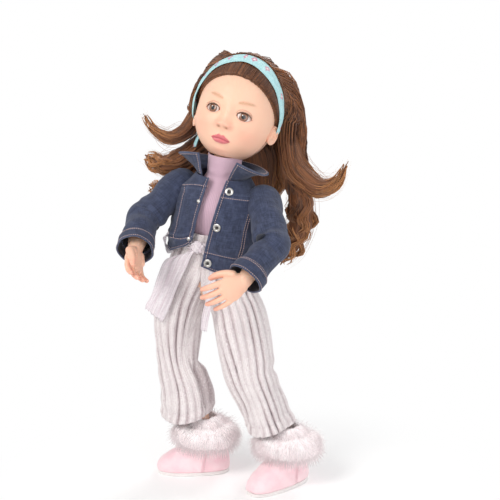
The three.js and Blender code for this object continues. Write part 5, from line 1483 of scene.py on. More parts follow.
SEAMS = seam_list()
STITCHED = {"yoke_left": (2.0,), "yoke_right": (2.0,), "down_left": (-1.3, 1.3), "down_right": (1.3,),
            "band_left": (-1.6,),
            "band_right": (-1.6,), "band_back": (-1.6,), "yoke_back": (1.6,), "back_left": (1.3,),
            "back_right": (-1.3,)}


def nearest(P, line):
    """Distance of each point to a line of points, and how far along it that is."""
    flat = P.reshape(-1, 3)
    best, where = np.full(len(flat), 1e9), np.zeros(len(flat))
    along = np.concatenate([[0], np.cumsum(np.linalg.norm(np.diff(line, axis=0), axis=1))])
    for i in range(0, len(flat), 8000):
        d = np.linalg.norm(flat[i:i + 8000, None] - line[None], axis=2)
        k = d.argmin(1)
        best[i:i + 8000], where[i:i + 8000] = d[np.arange(len(k)), k], along[k]
    return best.reshape(P.shape[:-1]), where.reshape(P.shape[:-1])


def jacket_folds(a, z):
    """Relief of the cloth's soft folds, in millimetres."""
    P = on_jacket(a, z)
    drape = 0.9 * wobble(P * [1, 1, 0.45], 21, 34) + 0.3 * wobble(P, 22, 12)
    arm = bell(np.abs(np.cos(a)) - 0.93, 0.12) * bell(z - 78, 24)
    drag = 1.3 * arm * np.sin((P[..., 2] * 0.8 - np.abs(P[..., 0]) * 0.9 + 0.3 * P[..., 1]) / 3.2)
    blouse = 1.6 * bell(z - 56, 9) - 0.5 * bell(z - 45, 3.2)
    tight = smooth01((118 - z) / 14)
    return np.maximum(-0.7, (drape + drag) * (0.25 + 0.75 * tight) + blouse)


def jacket_relief(a, z):
    P = on_jacket(a, z)
    out = jacket_folds(a, z)
    wear = 0.25 * np.clip(wobble(P, 31, 9), 0, 1)
    for sa, sz in SEAMS.values():
        d, along = nearest(P, on_jacket(sa, sz))
        out += 0.5 * bell(d - 2.3, 1.7) - 0.7 * bell(d, 0.7)
        out += 0.22 * np.sin(along * 2.1 + 3 * np.sin(along * 0.21)) * bell(d, 4)
        wear = wear + 0.55 * bell(d - 2.4, 1.0) * (0.6 + 0.4 * np.sin(along * 2.1))
    return out, wear


def jacket_points(a, z, lift=0.0):
    out = jacket_relief(a, z)[0]
    return on_jacket(a, z, out + lift)


def beside(line, off):
    """The line moved sideways over the surface by off, by its own direction and the surface's outward side."""
    a, z = line
    P = on_jacket(a, z)
    n = unit(P * [1, 1.5, 0])
    side = unit(np.cross(np.gradient(P, axis=0), n))
    Q = P + side * off
    zz = Q[:, 2]
    rx, ry = table_at(JACKET, zz)
    aa = np.arctan2(Q[:, 1] / ry, Q[:, 0] / rx)
    return np.unwrap(aa), zz


def make_jacket():
    U, Vv = np.meshgrid(np.linspace(0, 1, JACKET_COLS), np.linspace(0, 1, JACKET_ROWS))
    a, z = jacket_at(U, Vv)
    out, wear = jacket_relief(a, z)
    edge = np.minimum(np.minimum(U, 1 - U) * 270, Vv * 90)
    out += 0.5 * bell(edge - 1.6, 1.2) - 0.35 * bell(edge - 3.6, 0.6)
    wear += 0.5 * bell(edge, 1.2)
    P = on_jacket(a, z, out)
    body = cloth("jacket_cloth", place(P, "torso"), JACKET_T * MM, DENIM, wrap=False,
                 values={"wear": np.clip(wear, 0, 1)})
    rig.slot(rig.replaces(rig.ride(body, "torso"), "jacket_body"), "denim")
    lines = []
    for name, offs in STITCHED.items():
        for off in offs:
            aa, zz = beside(SEAMS[name], off)
            lines.append(jacket_points(aa[2:-2], zz[2:-2], JACKET_T / 2 + 0.12))
    # Along the front edges and the hem
    t = np.linspace(0.02, 0.995, 120)
    for inset in (0.011, 1 - 0.011):
        aa, zz = jacket_at(np.full(120, inset), t)
        lines.append(jacket_points(aa, zz, JACKET_T / 2 + 0.2))
    u = np.linspace(0.012, 0.988, 500)
    aa, zz = jacket_at(u, np.full(500, 0.022))
    lines.append(jacket_points(aa, zz, JACKET_T / 2 + 0.2))
    sewn = stitches("jacket_stitches", [place(p, "torso") for p in lines], 2.5, 1.8, 0.3)
    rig.slot(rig.ride(sewn, "torso"), "denim")


# Collar: it stands at the neck and turns down towards its outer edge

COLLAR_EDGE = [[30, -37, 152], [43, -27, 145], [52, -8, 137.5], [49, 12, 136], [30, 29, 137], [0, 35, 138],
               [-31, 29, 139], [-52, 13, 141], [-56, -4, 143], [-41, -22, 149], [-19, -29, 153]]
COLLAR_FOOT = np.radians([-57, -35, -8, 24, 60, 90, 120, 156, 188, 214, 237])


def collar_at(u, v):
    edge = spline(COLLAR_EDGE, 400)
    foot = spline(COLLAR_FOOT[:, None], 400)[:, 0]
    i = np.clip(u * 399, 0, 398.999)
    k, f = i.astype(int), i % 1
    e = edge[k] * (1 - f)[..., None] + edge[k + 1] * f[..., None]
    a = foot[k] * (1 - f) + foot[k + 1] * f
    b = np.stack([28.9 * np.cos(a), 26.9 * np.sin(a), np.full(np.shape(a), 127.6)], -1)
    tip = np.abs(2 * u - 1) ** 5
    # The fold stands higher than the edge where the collar is turned down
    c = b * (0.72 - 0.2 * tip)[..., None] + e * (0.28 + 0.2 * tip)[..., None]
    c[..., 2] = np.maximum(b[..., 2] + 9 * (1 - tip), c[..., 2] + 3.5 * (1 - tip)) + 1.5 * tip
    q = np.asarray(v)[..., None]
    p = b * (1 - q) ** 2 + 2 * c * q * (1 - q) + e * q**2
    ease = 0.7 * wobble(p, 41, 18) + 0.3 * wobble(p, 42, 7)
    p = p + unit(p * [1, 1, 0]) * (ease * np.sin(pi * np.clip(v, 0, 1) * 0.9))[..., None]
    return p


def make_collar():
    U, Vv = np.meshgrid(np.linspace(0, 1, 210), np.linspace(0, 1, 44))
    P = collar_at(U, Vv)
    edge = np.minimum(np.minimum(U, 1 - U) * 190, (1 - Vv) * 24)
    n = normals_of(P, False)
    P = P + n * (0.35 * bell(edge - 1.6, 1.2) - 0.3 * bell(edge - 3.4, 0.6))[..., None]
    wear = 0.6 * bell(edge, 1.3) + 0.25 * np.clip(wobble(P, 32, 8), 0, 1)
    collar = cloth("collar_cloth", place(P, "torso"), 1.6 * MM, DENIM, wrap=False,
                   values={"wear": np.clip(wear, 0, 1)})
    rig.slot(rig.replaces(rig.ride(collar, "torso"), "jacket_collar"), "denim")
    lines = []
    for side in (1, -1):
        for uu, vv in ((np.full(60, 0.014), np.linspace(0.1, 0.93, 60)),
                       (np.full(60, 0.986), np.linspace(0.1, 0.93, 60)),
                       (np.linspace(0.014, 0.986, 400), np.full(400, 0.93))):
            p = collar_at(uu, vv)
            pu, pv = collar_at(np.clip(uu + 0.002, 0, 1), vv) - collar_at(np.clip(uu - 0.002, 0, 1),
                                                                          vv), collar_at(uu, vv
                                                                                         + 0.01) - collar_at(uu, vv
                                                                                                             - 0.01)
            lines.append(p + side * unit(np.cross(pu, pv)) * 1.05)
    sewn = stitches("collar_stitches", [place(p, "torso") for p in lines], 2.4, 1.7, 0.3)
    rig.slot(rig.ride(sewn, "torso"), "denim")


# Snaps and studs: a rolled ring with a dark hollow, and a small domed stud

def on_front(x, z, out):
    a = front(np.array(float(x)), np.array(float(z)), 1 if x > opening(z, 0) else -1)
    return jacket_points(a, np.array(float(z)), JACKET_T / 2 + out)


def make_fasteners():
    def lathe(name, node, profile, x, z, material, cols=48, sink=0.0):
        base = on_front(x, z, sink)
        dx = on_front(x + 0.6, z, 0) - on_front(x - 0.6, z, 0)
        dz = on_front(x, z + 0.6, 0) - on_front(x, z - 0.6, 0)
        n = unit(np.cross(dx, dz))
        n = n if n[1] < 0 else -n
        e1 = unit(np.cross(n, [0, 0, 1]))
        e2 = np.cross(n, e1)
        t = steps_round(cols)
        P = np.array([base + n * h + r * (np.cos(t)[:, None] * e1 + np.sin(t)[:, None] * e2) for r, h in profile])
        obj = closed_loft(name, place(P, "torso"), material)
        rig.slot(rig.ride(obj, "torso"), "snap_metal")
        if node:
            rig.replaces(obj, node)
    roll = np.linspace(-0.5 * pi, 1.35 * pi, 22)
    ring = [(0.3, -0.3),
            (4.4, -0.3)] + [(3.35 + 1.25 * cos(t), 0.62 + 0.72 * sin(t)) for t in roll[3:]] + [(2.0, 0.15),
                                                                                               (1.0, 0.12)]
    for i, z in enumerate((34, 76, 116)):
        x = opening(z, 1) + 7.1
        lathe("snap_ring_%d" % (i + 1), "snap_%d" % (i + 1), ring, x, z, METAL)
        lathe("snap_hollow_%d" % (i + 1), None,
              [(0.2, 0.1), (1.5, 0.12), (1.7, 0.34), (1.2, 0.5), (0.7, 0.42), (0.2, 0.2)], x, z, DARK, 24)
    stud = [(0.3, -0.3), (2.1, -0.3), (2.3, 0.2), (2.2, 0.55), (1.8, 0.85), (1.3, 0.95), (1.1, 1.25), (0.7, 1.5),
            (0.2, 1.6)]
    for i, z in enumerate((57, 100)):
        lathe("stud_cap_%d" % (i + 1), "stud_%d" % (i + 1), stud, opening(z, -1) - 3.7, z, METAL, 32)


# Sleeves: one cloth from the shoulder to the cuff, folded at the elbow

SLEEVE_R, CUFF_R, CUFF_L = 19, 19.8, 13


def arm_path(side, count):
    """Path of a sleeve in the scene's millimetres with its distance from the elbow and its first sideways axis."""
    A, B = np.array(F["arm_" + side]), np.array(F["forearm_" + side])
    at = lambda m, z, y=0.0: (m @ [0, y, z, 1])[:3]
    points = [at(A, 22), at(A, 12), at(A, 1), at(A, -14), at(A, -30), at(A, -44),
              (at(A, -UPPER_ARM + 3) + at(B, -2)) / 2 + A[:3, 1] + B[:3, 1],
              at(B, -13), at(B, -26), at(B, -FOREARM + CUFF_L + 1.5)]
    return spline(points, count), A[:3, 0]


def sleeve_rings(side, cols, rows):
    path, start = arm_path(side, rows)
    s = np.concatenate([[0], np.cumsum(np.linalg.norm(np.diff(path, axis=0), axis=1))])
    bend = s[np.linalg.norm(path - np.array(F["forearm_" + side].translation), axis=1).argmin()]
    radius = np.interp(s, [0, 4, 9, 17, 25, 48, 74, 100, 120],
                       np.array([0.25, 0.72, 0.93, 1.07, 1.09, 1.02, 0.97, 0.96, 0.94]) * SLEEVE_R)
    rings = tube(path, np.ones(rows), cols, start)
    centre = path[:, None]
    ray = rings - centre
    a = steps_round(cols)
    S, A = np.meshgrid(s - bend, a, indexing="ij")
    # Inner side of the bend, where the cloth crumples
    inner = np.clip(unit(ray) @ unit(np.array(F["forearm_" + side])[:3, 2] * -1 + np.array(F["arm_" + side])[:3, 2]),
                    -1, 1)
    seed = 50 if side == "right" else 60
    crumple = bell(S, 17) * (0.55 + 0.6 * inner)
    out = 2.7 * crumple * np.sin(S / 3.0 + 1.3 * np.sin(2 * A + 1) + (0 if side == "right" else 1.2))
    out += 1.5 * bell(S + 34, 22) * np.sin(2 * A + S / 7.5 + 0.7)
    out += 1.3 * bell(S - 26, 16) * np.sin(2 * A - S / 6.0)
    out += 0.8 * wobble(rings * [1, 1, 0.7], seed, 26) + 0.25 * wobble(rings, seed + 1, 9)
    start_low = smooth01((S + bend) / 16)
    out = out * start_low * (0.35 + 0.65 * smooth01((s[-1] - bend - S) / 10))
    R = radius[:, None] + out - JACKET_T / 2
    return centre + ray * R[..., None], s, bend, a


def make_sleeve(side):
    cols, rows = 140, 150
    P, _, _, a = sleeve_rings(side, cols, rows)
    seed = 70 if side == "right" else 80
    wear = 0.25 * np.clip(wobble(P, seed, 9), 0, 1)
    under = bell(a - (1.5 * pi), 0.035)[None]
    n = normals_of(P, True)
    if ((P - P.mean(1, keepdims=True)) * n).sum() < 0:
        n = -n
    P = P - n * (0.6 * under)[..., None]
    sleeve = cloth("sleeve_cloth_" + side, P * MM, 1.5 * MM, DENIM,
                   values={"wear": np.clip(wear + 0.3 * under, 0, 1)}, lining=INSIDE)
    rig.slot(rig.replaces(sleeve, "sleeve_upper_" + side, "sleeve_lower_" + side), "denim")
    arm, low = np.array(F["arm_" + side]), np.array(F["forearm_" + side])
    begin, end = (arm @ [0, 0, -UPPER_ARM + 16, 1])[:3] * MM, (low @ [0, 0, -16, 1])[:3] * MM
    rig.blend(sleeve, "upper_arm_" + side, "forearm_" + side, start=tuple(begin), end=tuple(end))

    # Cuff: a doubled band that stands a little proud of the sleeve
    end_z = -FOREARM + CUFF_L + 1
    cuff_rows, cuff_cols = 36, 140
    q, t = np.linspace(0, 1, cuff_rows), steps_round(cuff_cols)
    C = np.zeros((cuff_rows, cuff_cols, 3))
    seam_at = 1.5 * pi + 0.5
    for i, v in enumerate(q):
        r = CUFF_R - 0.8 + 0.9 * smooth01(v * 5) - 0.5 * v + 0.5 * bell(v - 0.93, 0.06)
        r = r + 0.35 * np.sin(3 * t + 2.2 * v + 1) + 0.3 * np.sin(7 * t + 1) * v
        r = r - 0.5 * bell(half_turn(t - seam_at), 0.03)
        C[i] = np.stack([r * np.cos(t), r * np.sin(t), np.full(cuff_cols, end_z + 1.2 - (CUFF_L + 1.2) * v)], -1)
    wear_c = 0.6 * bell(q - 1, 0.05)[:, None] + 0.45 * bell(q - 0.04, 0.04)[:, None] + 0 * t
    cuff = cloth("cuff_cloth_" + side, place(C, "forearm_" + side), 1.6 * MM, DENIM,
                 values={"wear": np.clip(wear_c, 0, 1)}, lining=INSIDE)
    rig.slot(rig.replaces(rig.ride(cuff, "forearm_" + side), "cuff_" + side), "denim")
    lines = []
    for v, out in ((0.13, 0.95), (0.9, 1.05)):
        i = int(v * (cuff_rows - 1))
        ring = C[i] + unit(C[i] * [1, 1, 0]) * out
        lines.append(place(np.concatenate([ring, ring[:1]]), "forearm_" + side))
    # A line of stitches on the sleeve's own hem above the cuff
    j = rows - 4
    ring = P[j] + n[j] * 0.95
    lines.append(np.concatenate([ring, ring[:1]]) * MM)
    sewn = stitches("cuff_stitches_" + side, lines, 2.4, 1.7, 0.3)
    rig.slot(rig.ride(sewn, "forearm_" + side), "denim")


# Top: close knit with a high neck

def make_top():
    table = spline([[55, 34.5, 25.5], [68, 38, 27.5], [80, 42, 29.5], [91, 44, 30], [102, 42.5, 27.5],
                    [112, 33, 22.5], [120, 22.5, 19.6],
                    [127, 18.6, 18.3], [136, 17.8, 17.8], [146, 18.2, 18.2]], 150)
    rows, cols = 100, 160
    a = steps_round(cols)
    P = np.zeros((rows, cols, 3))
    for i, t in enumerate(np.linspace(0, 1, rows)):
        z = 55 + 95 * t
        rx, ry = (float(v) for v in table_at(table, z))
        power = 2.3 - 0.3 * smooth01((z - 112) / 14)
        p = outline(rx + 0.4, ry + 0.4, a, power, z)
        fade = smooth01((z - 55) / 6) * smooth01((152 - z) / 10)
        soft = 0.9 * bell(z - 84, 22) * np.sin(p[:, 0] / 4.6 + 0.9 * np.sin(z / 15)) + 0.7 * wobble(p * [1, 1, 0.35],
                                                                                                    91, 22)
        neck = 0.45 * np.sin(z / 1.9 + 0.8 * np.sin(3 * a)) * bell(z - 128, 8)
        out = np.maximum(-0.5, (soft * smooth01((118 - z) / 20) + neck) * fade)
        P[i] = p + unit(p * [1, 1, 0]) * out[:, None]
    top = cloth("top_cloth", place(P, "torso"), 1.2 * MM, KNIT)
    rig.slot(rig.replaces(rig.ride(top, "torso"), "high_neck_top"), "knit_top")


make_jacket()
make_collar()
make_fasteners()
for side in SIDES:
    make_sleeve(side)
make_top()


# Trousers: each half runs from the waist down a leg; the hip piece dips under the leg piece where they meet

PLEATS = 19
WAIST = [[-4, 49.5, 33], [14, 49, 33], [38, 42, 30], [60, 36.5, 27.5]]
# Stations: centre across and radius; lean is a shift to the camera's right, in millimetres
LEG_STATIONS = {
    "right": dict(radius=[27, 27.5, 28, 29, 30, 26.5, 21.5, 21.5, 25, 28, 29],
                  lean=[0, 0, -1, -4, -9.5, -12, -10.5, -6, -5.5, -8, -12.5], hem=65.5),
    "left": dict(radius=[27, 27.5, 28, 29, 29.5, 30, 29, 27.5, 26, 26, 27.5],
                 lean=[0, 0, 0, 0, 0, 0, 0, 0, -1, -3, -5], hem=66),
}


def leg_stations(side):
    s, p = SIDES[side], STANCE[side]
    torso = np.array(F["torso"])
    thigh = np.array(F["hip_" + side] @ turn("Y", -s * p["leg_spread"]))
    shin = np.array(F["shin_" + side] @ turn("Z", -p["leg_turn"]))
    hem = LEG_STATIONS[side]["hem"]

    def at(m, x, z):
        return np.concatenate([(m @ [x, 0, z, 1])[:3], m[:3, 0], m[:3, 1]])
    rows = [at(torso, s * 16, 62), at(torso, s * 20, 42), at(torso, s * 24, 20),
            (at(torso, s * 27, -4) + at(thigh, 0, -4)) / 2,
            at(thigh, 0, -28), at(thigh, 0, -56), at(thigh, 0, -84), (at(thigh, 0, -THIGH) + at(shin, 0, 0)) / 2,
            at(shin, 0, -24), at(shin, 0, -(24 + hem) / 2 - 4), at(shin, 0, -hem)]
    rows = np.array(rows)
    rows[-2:, 3:] = 0.45 * rows[-2:, 3:] + 0.55 * np.array([1, 0, 0, 0, 1, 0])
    away = np.array([0.916, 0.401, 0])
    rows[:, :3] += np.outer(LEG_STATIONS[side]["lean"], away)
    return rows


def waist_ray(cx, z, direction, ease):
    """Distance from the centre line to the waist's outline, and to the middle plane, in a direction."""
    rx, ry = (v + ease for v in table_at(WAIST, z))
    c, d = np.cos(direction), np.sin(direction)
    low, high = np.zeros_like(direction), np.full_like(direction, 130.0)
    for _ in range(26):
        r = (low + high) / 2
        out = (np.abs((cx + r * c) / rx) ** BOXY + np.abs(r * d / ry) ** BOXY) > 1
        low, high = np.where(out, low, r), np.where(out, r, high)
    s = np.sign(cx)
    plane = np.where(c * s < -0.02, (np.abs(cx) + 1.2) / np.maximum(-c * s, 0.02), 400.0)
    return (low ** -9.0 + plane ** -9.0) ** (-1 / 9)


def clear_of_leg(P, side):
    """Moves cloth points out to the leg where the lean would bury them in it."""
    down = np.linspace(20, 104, 50)
    straight = np.stack([0 * down, 0 * down, -down], -1)
    axis = np.concatenate([place(straight, body + "_" + side) for body in ("thigh", "shin")]) / MM
    reach = np.concatenate([np.interp(down, [20, 60, 104], [19.5, 18, 16]),
                            np.interp(down, [20, 60, 104], [15.5, 14.5, 13])])
    away = P[:, :, None] - axis
    far = np.linalg.norm(away, axis=3)
    near = np.argmin(far - reach, axis=2)
    out = np.take_along_axis(away, near[:, :, None, None], 2)[:, :, 0]
    lack = reach[near] - np.take_along_axis(far, near[:, :, None], 2)[:, :, 0]
    return P + unit(out) * np.maximum(lack, 0)[..., None]


def leg_cloth(side, t0, t1, cols, rows, sink):
    """Rings of the trouser cloth between two places of the stations (0 waist, 10 hem), in the scene's millimetres."""
    s = SIDES[side]
    stations = leg_stations(side)
    fine = spline(stations, 601)
    place_of = np.linspace(0, 10, 601)
    t = np.linspace(t0, t1, rows)
    row = np.stack([np.interp(t, place_of, fine[:, k]) for k in range(9)], 1)
    radius = np.interp(t, place_of, spline(np.array(LEG_STATIONS[side]["radius"])[:, None], 601)[:, 0])
    centre, e1, e2 = row[:, :3], unit(row[:, 3:6]), unit(row[:, 6:9])
    phi = steps_round(cols)
    PHI, T = np.meshgrid(phi, t)
    z = np.interp(T, [0, 1, 2, 3], [62, 42, 20, -4])
    cx = s * np.interp(T, [0, 1, 2, 3], [16, 20, 24, 27])
    w = 1 - smooth01((T - 2.3) / 1.9)
    R = w * waist_ray(cx, z, PHI, 4.4 - 5.5 * smooth01((T - 1.6) / 1.6)) + (1 - w) * radius[:, None]
    drift = 1.2 * np.sin(2 * PHI + 1 + s) + 0.9 * np.sin(T * 0.9 + 2 * np.sin(PHI + s)) + 0.5 * np.sin(3 * PHI
                                                                                                       - 1.1 * T)
    valley = (0.5 - 0.5 * np.cos(PLEATS * PHI + drift)) ** 2.2
    wave = 0.8 - 2.1 * valley
    deep = np.maximum(0.25, 1.05 + 0.75 * np.sin(5 * PHI + 2 * s + 0.5 * T) + 0.4 * np.sin(3 * PHI + 1.1 * T))
    deep = deep * np.interp(T, [0, 0.8, 3, 8, 10], [0.35, 0.7, 1.0, 1.0, 1.15])
    big = 1.6 * np.cos(3 * PHI + 0.9 * T + (2 if s > 0 else 0.5)) * smooth01((T - 3) / 2)
    fine_folds = 0.28 * np.cos(3 * PLEATS * PHI + 2.5 * drift + 2 * np.sin(2 * T))
    crease = 1.3 * bell(T - 7.1, 0.9) * np.sin(T * 5.2 + 1.5 * np.cos(PHI + 1)) * (0.5
                                                                                   + 0.5 * np.cos(PHI - pi / 2
                                                                                                  + 0.6 * s))
    stack = 1.2 * bell(T - 9.4, 0.7) * np.sin(T * 6 + 2 * np.cos(2 * PHI))
    R = R + deep * wave + big + fine_folds + crease + stack * 0.7
    if s < 0:
        calf = smooth01((T - 6.6) / 1.0) * smooth01((10.3 - T) / 1.6)
        around = half_turn(PHI)
        R = R + calf * (6 * bell(around - 0.5, 0.42) - 9 * bell(around + 0.2, 0.16))
    R = R - 1.5 * np.interp(t, *sink)[:, None]
    P = centre[:, None] + R[..., None] * (np.cos(PHI)[..., None] * e1[:, None] + np.sin(PHI)[..., None] * e2[:, None])
    # The hem hangs a little unevenly
    down = smooth01((T - 9.3) / 0.7) * (1.2 * np.sin(2 * PHI + 1.5) + 0.7 * np.cos(PLEATS * PHI + drift))
    P[..., 2] += down
    P = P + (clear_of_leg(P, side) - P) * smooth01((T - 2.6) / 0.8)[..., None]
    fold = np.clip(1.2 * valley - 0.1 * fine_folds, 0, 1) * np.clip(deep, 0.2, 1.5) / 1.5
    if s < 0:
        fold = np.maximum(fold, 0.85 * calf * bell(around - 0.25, 0.42))
    fold = np.clip(fold, 0, 1)
    return P, fold, (centre, t)


def make_trousers(side):
    P, fold, (centre, t) = leg_cloth(side, 0, 4.4, 190, 84, ([0, 3.6, 4.4], [0, 0, 1]))
    hip = cloth("trousers_hip_" + side, P * MM, 1.2 * MM, TROUSER, values={"fold": fold})
    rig.slot(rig.replaces(hip, "trouser_seat"), "trouser_knit")
    at = lambda k: tuple(centre[np.abs(t - k).argmin()] * MM)
    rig.blend(hip, "torso", "hip_" + side, start=at(1.9), end=at(3.6))
    P, fold, (centre, t) = leg_cloth(side, 3.5, 10, 216, 150, ([3.5, 4.3, 10], [1, 0, 0]))
    leg = cloth("trousers_leg_" + side, P * MM, 1.2 * MM, TROUSER, values={"fold": fold})
    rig.slot(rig.replaces(leg, "trouser_upper_" + side, "trouser_lower_" + side), "trouser_knit")
    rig.blend(leg, "thigh_" + side, "shin_" + side, start=at(6.2), end=at(7.8))


# Sash: a gathered band, a knot, two loose ends and a small loop beside it

def ribbon(name, middle, wide, across, node, flat, rests, rows=70, cols=26, ripple=0.9, seed=1, held="hung"):
    """A loose end of voile along a path in the torso's frame; across gives each point's sideways direction."""
    path = spline(middle, rows)
    width = spline(np.array(wide, float)[:, None], rows)[:, 0]
    side = unit(spline(across, rows))
    w = np.linspace(-1, 1, cols)
    out = unit(np.cross(side, np.gradient(path, axis=0)))
    out = np.where(out[:, 1:2] > 0, -out, out)
    q = np.linspace(0, 1, rows)
    r = np.random.default_rng(seed)
    p1, p2 = r.uniform(0, 6, 2)
    gather = ripple * (np.cos(w[None] * 7 + p1 + 1.5 * q[:, None]) * (1 - 0.5 * q[:, None])
                       + 0.5 * np.cos(w[None] * 13 + p2 - q[:, None]))
    fray = 0.9 * r.normal(size=cols) * 0.5
    P = path[:, None] + (w[None] * width[:, None] / 2)[..., None] * side[:, None] + gather[..., None] * out[:, None]
    P[-1] += fray[:, None] * unit(path[-1] - path[-2])
    piece = cloth(name, place(P, "torso"), 0.35 * MM, VOILE, wrap=False)
    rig.ride(piece, "torso")
    if node:
        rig.replaces(piece, node)
    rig.slot(piece, "sash_voile")
    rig.sheet(piece, (flat[0] * MM, flat[1] * MM), held, rests_on=rests)


def make_sash():
    rows, cols = 30, 260
    a = steps_round(cols)
    P = np.zeros((rows, cols, 3))
    for i, v in enumerate(np.linspace(-1, 1, rows)):
        z = 50 + 5.4 * v + 1.2 * np.sin(a * 2 + 1)
        rx, ry = table_at(WAIST, z)
        out = 6.6 + 1.1 * (1 - v**2) + 0.7 * np.cos(v * 9 + 2 * np.sin(3 * a)) + 0.3 * np.sin(23 * a + 3 * v)
        P[i] = outline(rx + out, ry + out, a, BOXY, z)
    band = cloth("sash_cloth", place(P, "torso"), 0.7 * MM, VOILE)
    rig.slot(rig.replaces(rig.ride(band, "torso"), "sash_band"), "sash_voile")
    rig.sheet(band, (0.25, 0.012), "stretched", rests_on=["trousers_hip_left", "trousers_hip_right"])
    lat, lon = np.linspace(-pi / 2 + 0.05, pi / 2 - 0.05, 40), steps_round(60)
    LAT, LON = np.meshgrid(lat, lon, indexing="ij")
    fold = 1 + 0.12 * np.sin(4 * LON + 5 * LAT) + 0.06 * np.sin(9 * LON - 6 * LAT)
    K = np.stack([np.cos(LAT) * np.cos(LON) * 7.0, np.cos(LAT) * np.sin(LON) * 3.8, np.sin(LAT) * 6.2],
                 -1) * fold[..., None] + [-5.5, -38.3, 49]
    knot = closed_loft("sash_knot_cloth", place(K, "torso"), VOILE)
    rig.slot(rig.replaces(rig.ride(knot, "torso"), "sash_knot"), "sash_voile")
    ribbon("sash_end_wide",
           [[-8, -39, 49], [-14, -40, 42], [-26, -41, 33], [-33, -41, 14], [-40, -42, -11], [-50, -42, -41]],
           [9, 18, 34, 37, 34, 25],
           [[1, 0, 0.7], [1, 0, 0.6], [1, -0.1, 0.35], [1, -0.1, 0.4], [1, -0.05, 0.45], [0.7, 0, -0.35]],
           "sash_tail_wide", (35, 100), ["sash_knot_cloth", "trousers_hip_right"], ripple=1.1, seed=4)
    ribbon("sash_end_narrow",
           [[-2, -39, 48], [8, -37.5, 40], [15, -37, 27], [17, -41.5, 8], [16, -42, -12], [14, -41, -28],
            [13, -40, -45]],
           [5, 8, 9.5, 9, 8.5, 7.5],
           [[1, 0, 0.2], [1, 0.1, 0.2], [1, 0, 0.1], [1, -0.3, 0.2], [1, 0.2, 0.1], [1, 0, 0]],
           "sash_tail_narrow", (10, 98), ["sash_knot_cloth"], rows=60, cols=12, ripple=0.5, seed=5)
    ribbon("sash_loop",
           [[-34, -32, 50], [-44, -27, 52], [-53, -21, 50], [-57, -18, 44], [-54, -20, 37], [-47, -25, 34],
            [-38, -30, 38]],
           [7, 9, 11, 12, 11, 9, 7],
           [[0, -0.6, 1], [0.2, -0.6, 1], [0.4, -0.7, 0.7], [0.7, -0.7, 0.1], [0.5, -0.8, -0.4], [0.2, -0.7, -0.7],
            [0, -0.6, -1]],
           None, (10, 52), ["sash_cloth"], rows=60, cols=16, ripple=0.5, seed=6, held="folded")


# Boots, in the foot's frame: a rounded slipper shape with a seam down its side, on a flat sole

BOOT = spline([[4.2, 56.5, 26.6, 17.6, 2.5], [6, 58.5, 27.6, 18.5, 2.5], [10, 58.6, 27.8, 18.7, 2.45],
               [15, 56.5, 27.5, 18.4, 2.35],
               [20, 51.5, 27, 18.1, 2.25], [25, 43, 26.3, 18, 2.15], [30, 32.5, 25.4, 18, 2.08],
               [36, 24, 23.6, 18, 2.02],
               [44, 20.3, 22, 18.2, 2], [60, 19, 21, 18.3, 2]], 200)


def boot_point(z, a, out=0.0):
    toe, heel, half, power = table_at(BOOT, z)
    return outline(half + out, (toe + heel) / 2 + out, a, power, z, (heel - toe) / 2)


def make_boot(side):
    s = SIDES[side]
    z = np.concatenate([np.linspace(4.2, 8, 10), np.linspace(8.5, 60, 66)])
    a = steps_round(180)
    Z, A = np.meshgrid(z, a, indexing="ij")
    P0 = boot_point(Z, A)
    # The side seams drop from the shaft to the sole, leaning forward
    seam_y = lambda h: 6 - 0.42 * (44 - h) + 0.004 * (44 - h) ** 2
    side_on = np.abs(np.cos(A))
    d = (P0[..., 1] - seam_y(Z)) * smooth01(side_on * 3)
    d = np.where(side_on < 0.3, 99, d)
    toe_piece = -0.9 * bell(d, 0.7) + 0.6 * smooth01((-d + 0.4) / 1.5) * (Z < 46)
    soft = 0.35 * wobble(P0, 101 + int(s), 15) + 0.12 * wobble(P0, 103, 5)
    ankle = 0.9 * bell(Z - 33, 5) * np.sin(Z / 1.9 + 1.5 * np.sin(A * 2)) * np.clip(-np.sin(A), 0, 1)
    P = boot_point(Z, A, toe_piece + soft + ankle - 0.3 * smooth01((5.5 - Z) / 1.3))
    wear = 0.9 * bell(d, 1.0) + 0.35 * bell(Z - 4.6, 0.9)
    boot = closed_loft("boot_upper_" + side, place(P, "foot_" + side), SUEDE, {"wear": np.clip(wear, 0, 1)})
    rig.slot(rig.replaces(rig.ride(boot, "shin_" + side), "boot_" + side), "boot_suede")
    lines = []
    for sx in (-1, 1):
        for off in (-1.7, 1.7):
            h = np.linspace(6.5, 43, 60)
            y = seam_y(h) + off
            toe, heel, half, power = table_at(BOOT, h)
            cy, ry = (heel - toe) / 2, (toe + heel) / 2
            b = np.clip((y - cy) / ry, -0.98, 0.98)
            x = sx * half * (1 - np.abs(b) ** power) ** (1 / power)
            p = np.stack([x, y, h], -1)
            n = unit(np.stack([x / half**2, (y - cy) / ry**2, 0 * h + 0.003], -1))
            lines.append(p + n * (0.95 if off < 0 else 0.4))
    sewn = stitches("boot_stitches_" + side, [place(p, "foot_" + side) for p in lines], 2.2, 1.5, 0.24, BOOT_THREAD)
    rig.slot(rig.ride(sewn, "shin_" + side), "boot_suede")
    # Sole: flat with a rounded edge and a groove round it
    rings, heights = [], [(0.0, -1.1), (0.25, -0.4), (0.7, 0.0), (1.6, 0.25), (2.2, 0.1), (2.45, -0.25), (2.7, 0.1),
                          (3.4, 0.3), (3.9, 0.1), (4.15, -0.5)]
    for h, out in heights:
        half, toe, heel, power = 18.2 + out, 57.6 + out, 26.7 + out, 2.5
        rings.append(outline(half, (toe + heel) / 2, a, power, h, (heel - toe) / 2))
    S = np.array(rings)
    sole = closed_loft("boot_sole_" + side, place(S, "foot_" + side), RUBBER)
    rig.slot(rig.replaces(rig.ride(sole, "shin_" + side), "sole_" + side), "sole_rubber")


